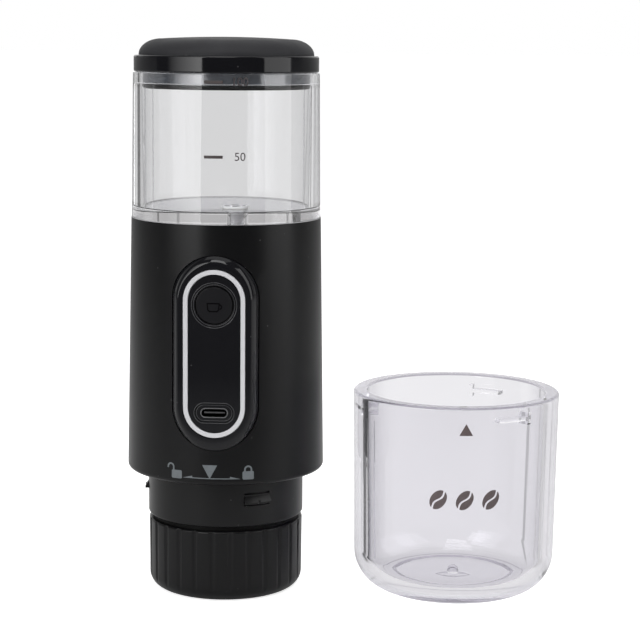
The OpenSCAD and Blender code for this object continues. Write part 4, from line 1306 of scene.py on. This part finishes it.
class ESPRESSO_OT_stage(PieceOperator):
    """Make the floor, the surroundings, the lamps and the camera"""
    bl_idname = "espresso.stage"
    bl_label = "Stage"
    camera_place = Vector((74.6, -634.3, 185.4)) * MM
    camera_heading = math.radians(3.88)
    camera_pitch = math.radians(8.43)
    camera_roll = math.radians(0.51)
    camera_reach = 200.0
    sensor_width = 36.0
    floor_half = 20.0
    floor_drop = 0.05 * MM
    floor_front = (-0.45, -0.08)
    tent_front = 0.6
    fade_end = 0.9
    aim = Vector((0.02, 0, 0.09))
    # Bearing in degrees, distance, height, and the two sides of each softbox
    softboxes = {"left": (-46.2, 1.05, 0.42, (0.97, 1.2)), "right": (72.5, 1.05, 0.45, (0.8, 1.4)),
                 "top": (0, 0.05, 1.2, (0.9, 0.7)), "front": (0, 0.58, 0.94, (0.44, 0.4))}

    def execute(self, context):
        scene, stage = context.scene, context.scene.espresso_stage
        scene.view_settings.view_transform = "Standard"
        self.make_floor()
        self.make_surroundings(scene)
        for side, place in self.softboxes.items():
            lamp = self.softbox("softbox_" + side, getattr(stage, side + "_light"), *place)
            if side == "left":
                self.fade(lamp)
        self.make_camera(scene, stage)
        return {"FINISHED"}

    def softbox(self, name, radiance, degrees, away, height, size):
        lamp = bpy.data.lights.new(name, "AREA")
        lamp.shape = "RECTANGLE"
        lamp.size, lamp.size_y = size
        lamp.energy = radiance * math.pi * size[0] * size[1]
        obj = new_object(name, lamp)
        obj.location = on_circle(away, math.radians(degrees), height)
        obj.rotation_euler = (self.aim - obj.location).to_track_quat("-Z", "Y").to_euler()
        obj.visible_transmission = False
        return lamp

    def fade(self, lamp):
        """Lets a softbox fade out towards its far edge."""
        lamp.use_nodes = True
        nodes = Nodes(lamp.node_tree)
        across = nodes.parts(nodes.add("NewGeometry").outputs["Parametric"])["X"]
        nodes.fill(lamp.node_tree.nodes["Emission"], Strength=nodes.share(across, 0.0, self.fade_end))

    def make_floor(self):
        bm = bmesh.new()
        bmesh.ops.create_grid(bm, x_segments=8, y_segments=8, size=self.floor_half)
        floor = loose_object("studio_floor", bm)
        floor.data.materials.append(self.floor_finish())
        floor.location.z = -self.floor_drop
        floor.visible_transmission = False

    def floor_finish(self):
        """White table that keeps a pale shadow, with a darker front outside the picture."""
        white, dark, glow_level = 0.8, 0.08, 0.78
        material, nodes, skin, place = new_finish("studio_white")
        seen = nodes.add("LightPath").outputs["Is Camera Ray"]
        near = nodes.share(nodes.parts(place)["Y"], *self.floor_front, To_Min=dark, To_Max=white)
        pale = nodes.add("Mix", {"data_type": "FLOAT"}, Factor=seen, A=near, B=white)
        nodes.fill(skin, Base_Color=pale.outputs[0], Roughness=0.9, Specular_IOR_Level=0.0)
        glow = nodes.add("Emission", Strength=nodes.math("MULTIPLY", seen, glow_level))
        nodes.put(nodes.surface, nodes.put_all(nodes.add("AddShader"), skin.outputs[0], glow.outputs[0]))
        return material

    def make_surroundings(self, scene):
        """White for the camera, a tent of pale cloth behind the object, dark behind the camera."""
        scene.world = bpy.data.worlds.new("studio")
        scene.world.use_nodes = True
        nodes = Nodes(scene.world.node_tree, "OutputWorld")
        seams = effect(nodes, "tent_seams", nodes.add("TexCoord").outputs["Generated"])
        ray = nodes.add("LightPath").outputs
        inside = nodes.math("GREATER_THAN", ray["Transmission Depth"], 0.5)
        through = nodes.math("MULTIPLY", nodes.math("MULTIPLY", inside, seams["Front"]), self.tent_front)
        strength = nodes.math("MAXIMUM", ray["Is Camera Ray"], nodes.math("MAXIMUM", seams["Value"], through))
        sky = nodes.add("Background", Color=(1, 1, 1, 1), Strength=strength)
        nodes.put(nodes.surface, sky.outputs[0])

    def make_camera(self, scene, stage):
        camera = bpy.data.cameras.new("photo_view")
        camera.lens = stage.lens
        camera.sensor_width = self.sensor_width
        camera.clip_end = self.camera_reach
        obj = new_object("photo_view", camera)
        obj.location = self.camera_place
        turn = Matrix.Rotation(self.camera_heading, 3, "Z")
        tilt = Matrix.Rotation(math.pi / 2 - self.camera_pitch, 3, "X")
        obj.rotation_euler = (turn @ tilt @ Matrix.Rotation(self.camera_roll, 3, "Z")).to_euler()
        scene.camera = obj


OPERATORS = [ESPRESSO_OT_lid, ESPRESSO_OT_tank, ESPRESSO_OT_pod, ESPRESSO_OT_holder, ESPRESSO_OT_cup,
             ESPRESSO_OT_prints, ESPRESSO_OT_solids, ESPRESSO_OT_stage]


class ESPRESSO_PT_panel(bpy.types.Panel):
    """Lists the steps and the sizes of the espresso maker"""
    bl_idname = "ESPRESSO_PT_panel"
    bl_label = "Espresso maker"
    bl_space_type = "VIEW_3D"
    bl_region_type = "UI"
    bl_category = "Espresso"

    def draw(self, context):
        for operator in OPERATORS:
            self.layout.operator(operator.bl_idname)
        for name in GROUPS:
            group = getattr(context.scene, name)
            box = self.layout.box()
            for key in group.bl_rna.properties.keys():
                if key not in ("rna_type", "name"):
                    box.prop(group, key)


def register():
    for group in GROUPS.values():
        bpy.utils.register_class(group)
    for name, group in GROUPS.items():
        setattr(bpy.types.Scene, name, PointerProperty(type=group))
    for operator in OPERATORS:
        bpy.utils.register_class(operator)
    bpy.utils.register_class(ESPRESSO_PT_panel)


def unregister():
    bpy.utils.unregister_class(ESPRESSO_PT_panel)
    for operator in reversed(OPERATORS):
        bpy.utils.unregister_class(operator)
    for name, group in GROUPS.items():
        delattr(bpy.types.Scene, name)
        bpy.utils.unregister_class(group)


def main():
    register()
    bpy.ops.espresso.lid()
    bpy.ops.espresso.tank()
    bpy.ops.espresso.pod()
    bpy.ops.espresso.holder()
    bpy.ops.espresso.cup()
    bpy.ops.espresso.prints()
    bpy.ops.espresso.solids()
    bpy.ops.espresso.stage()


if __name__ == "__main__":
    main()
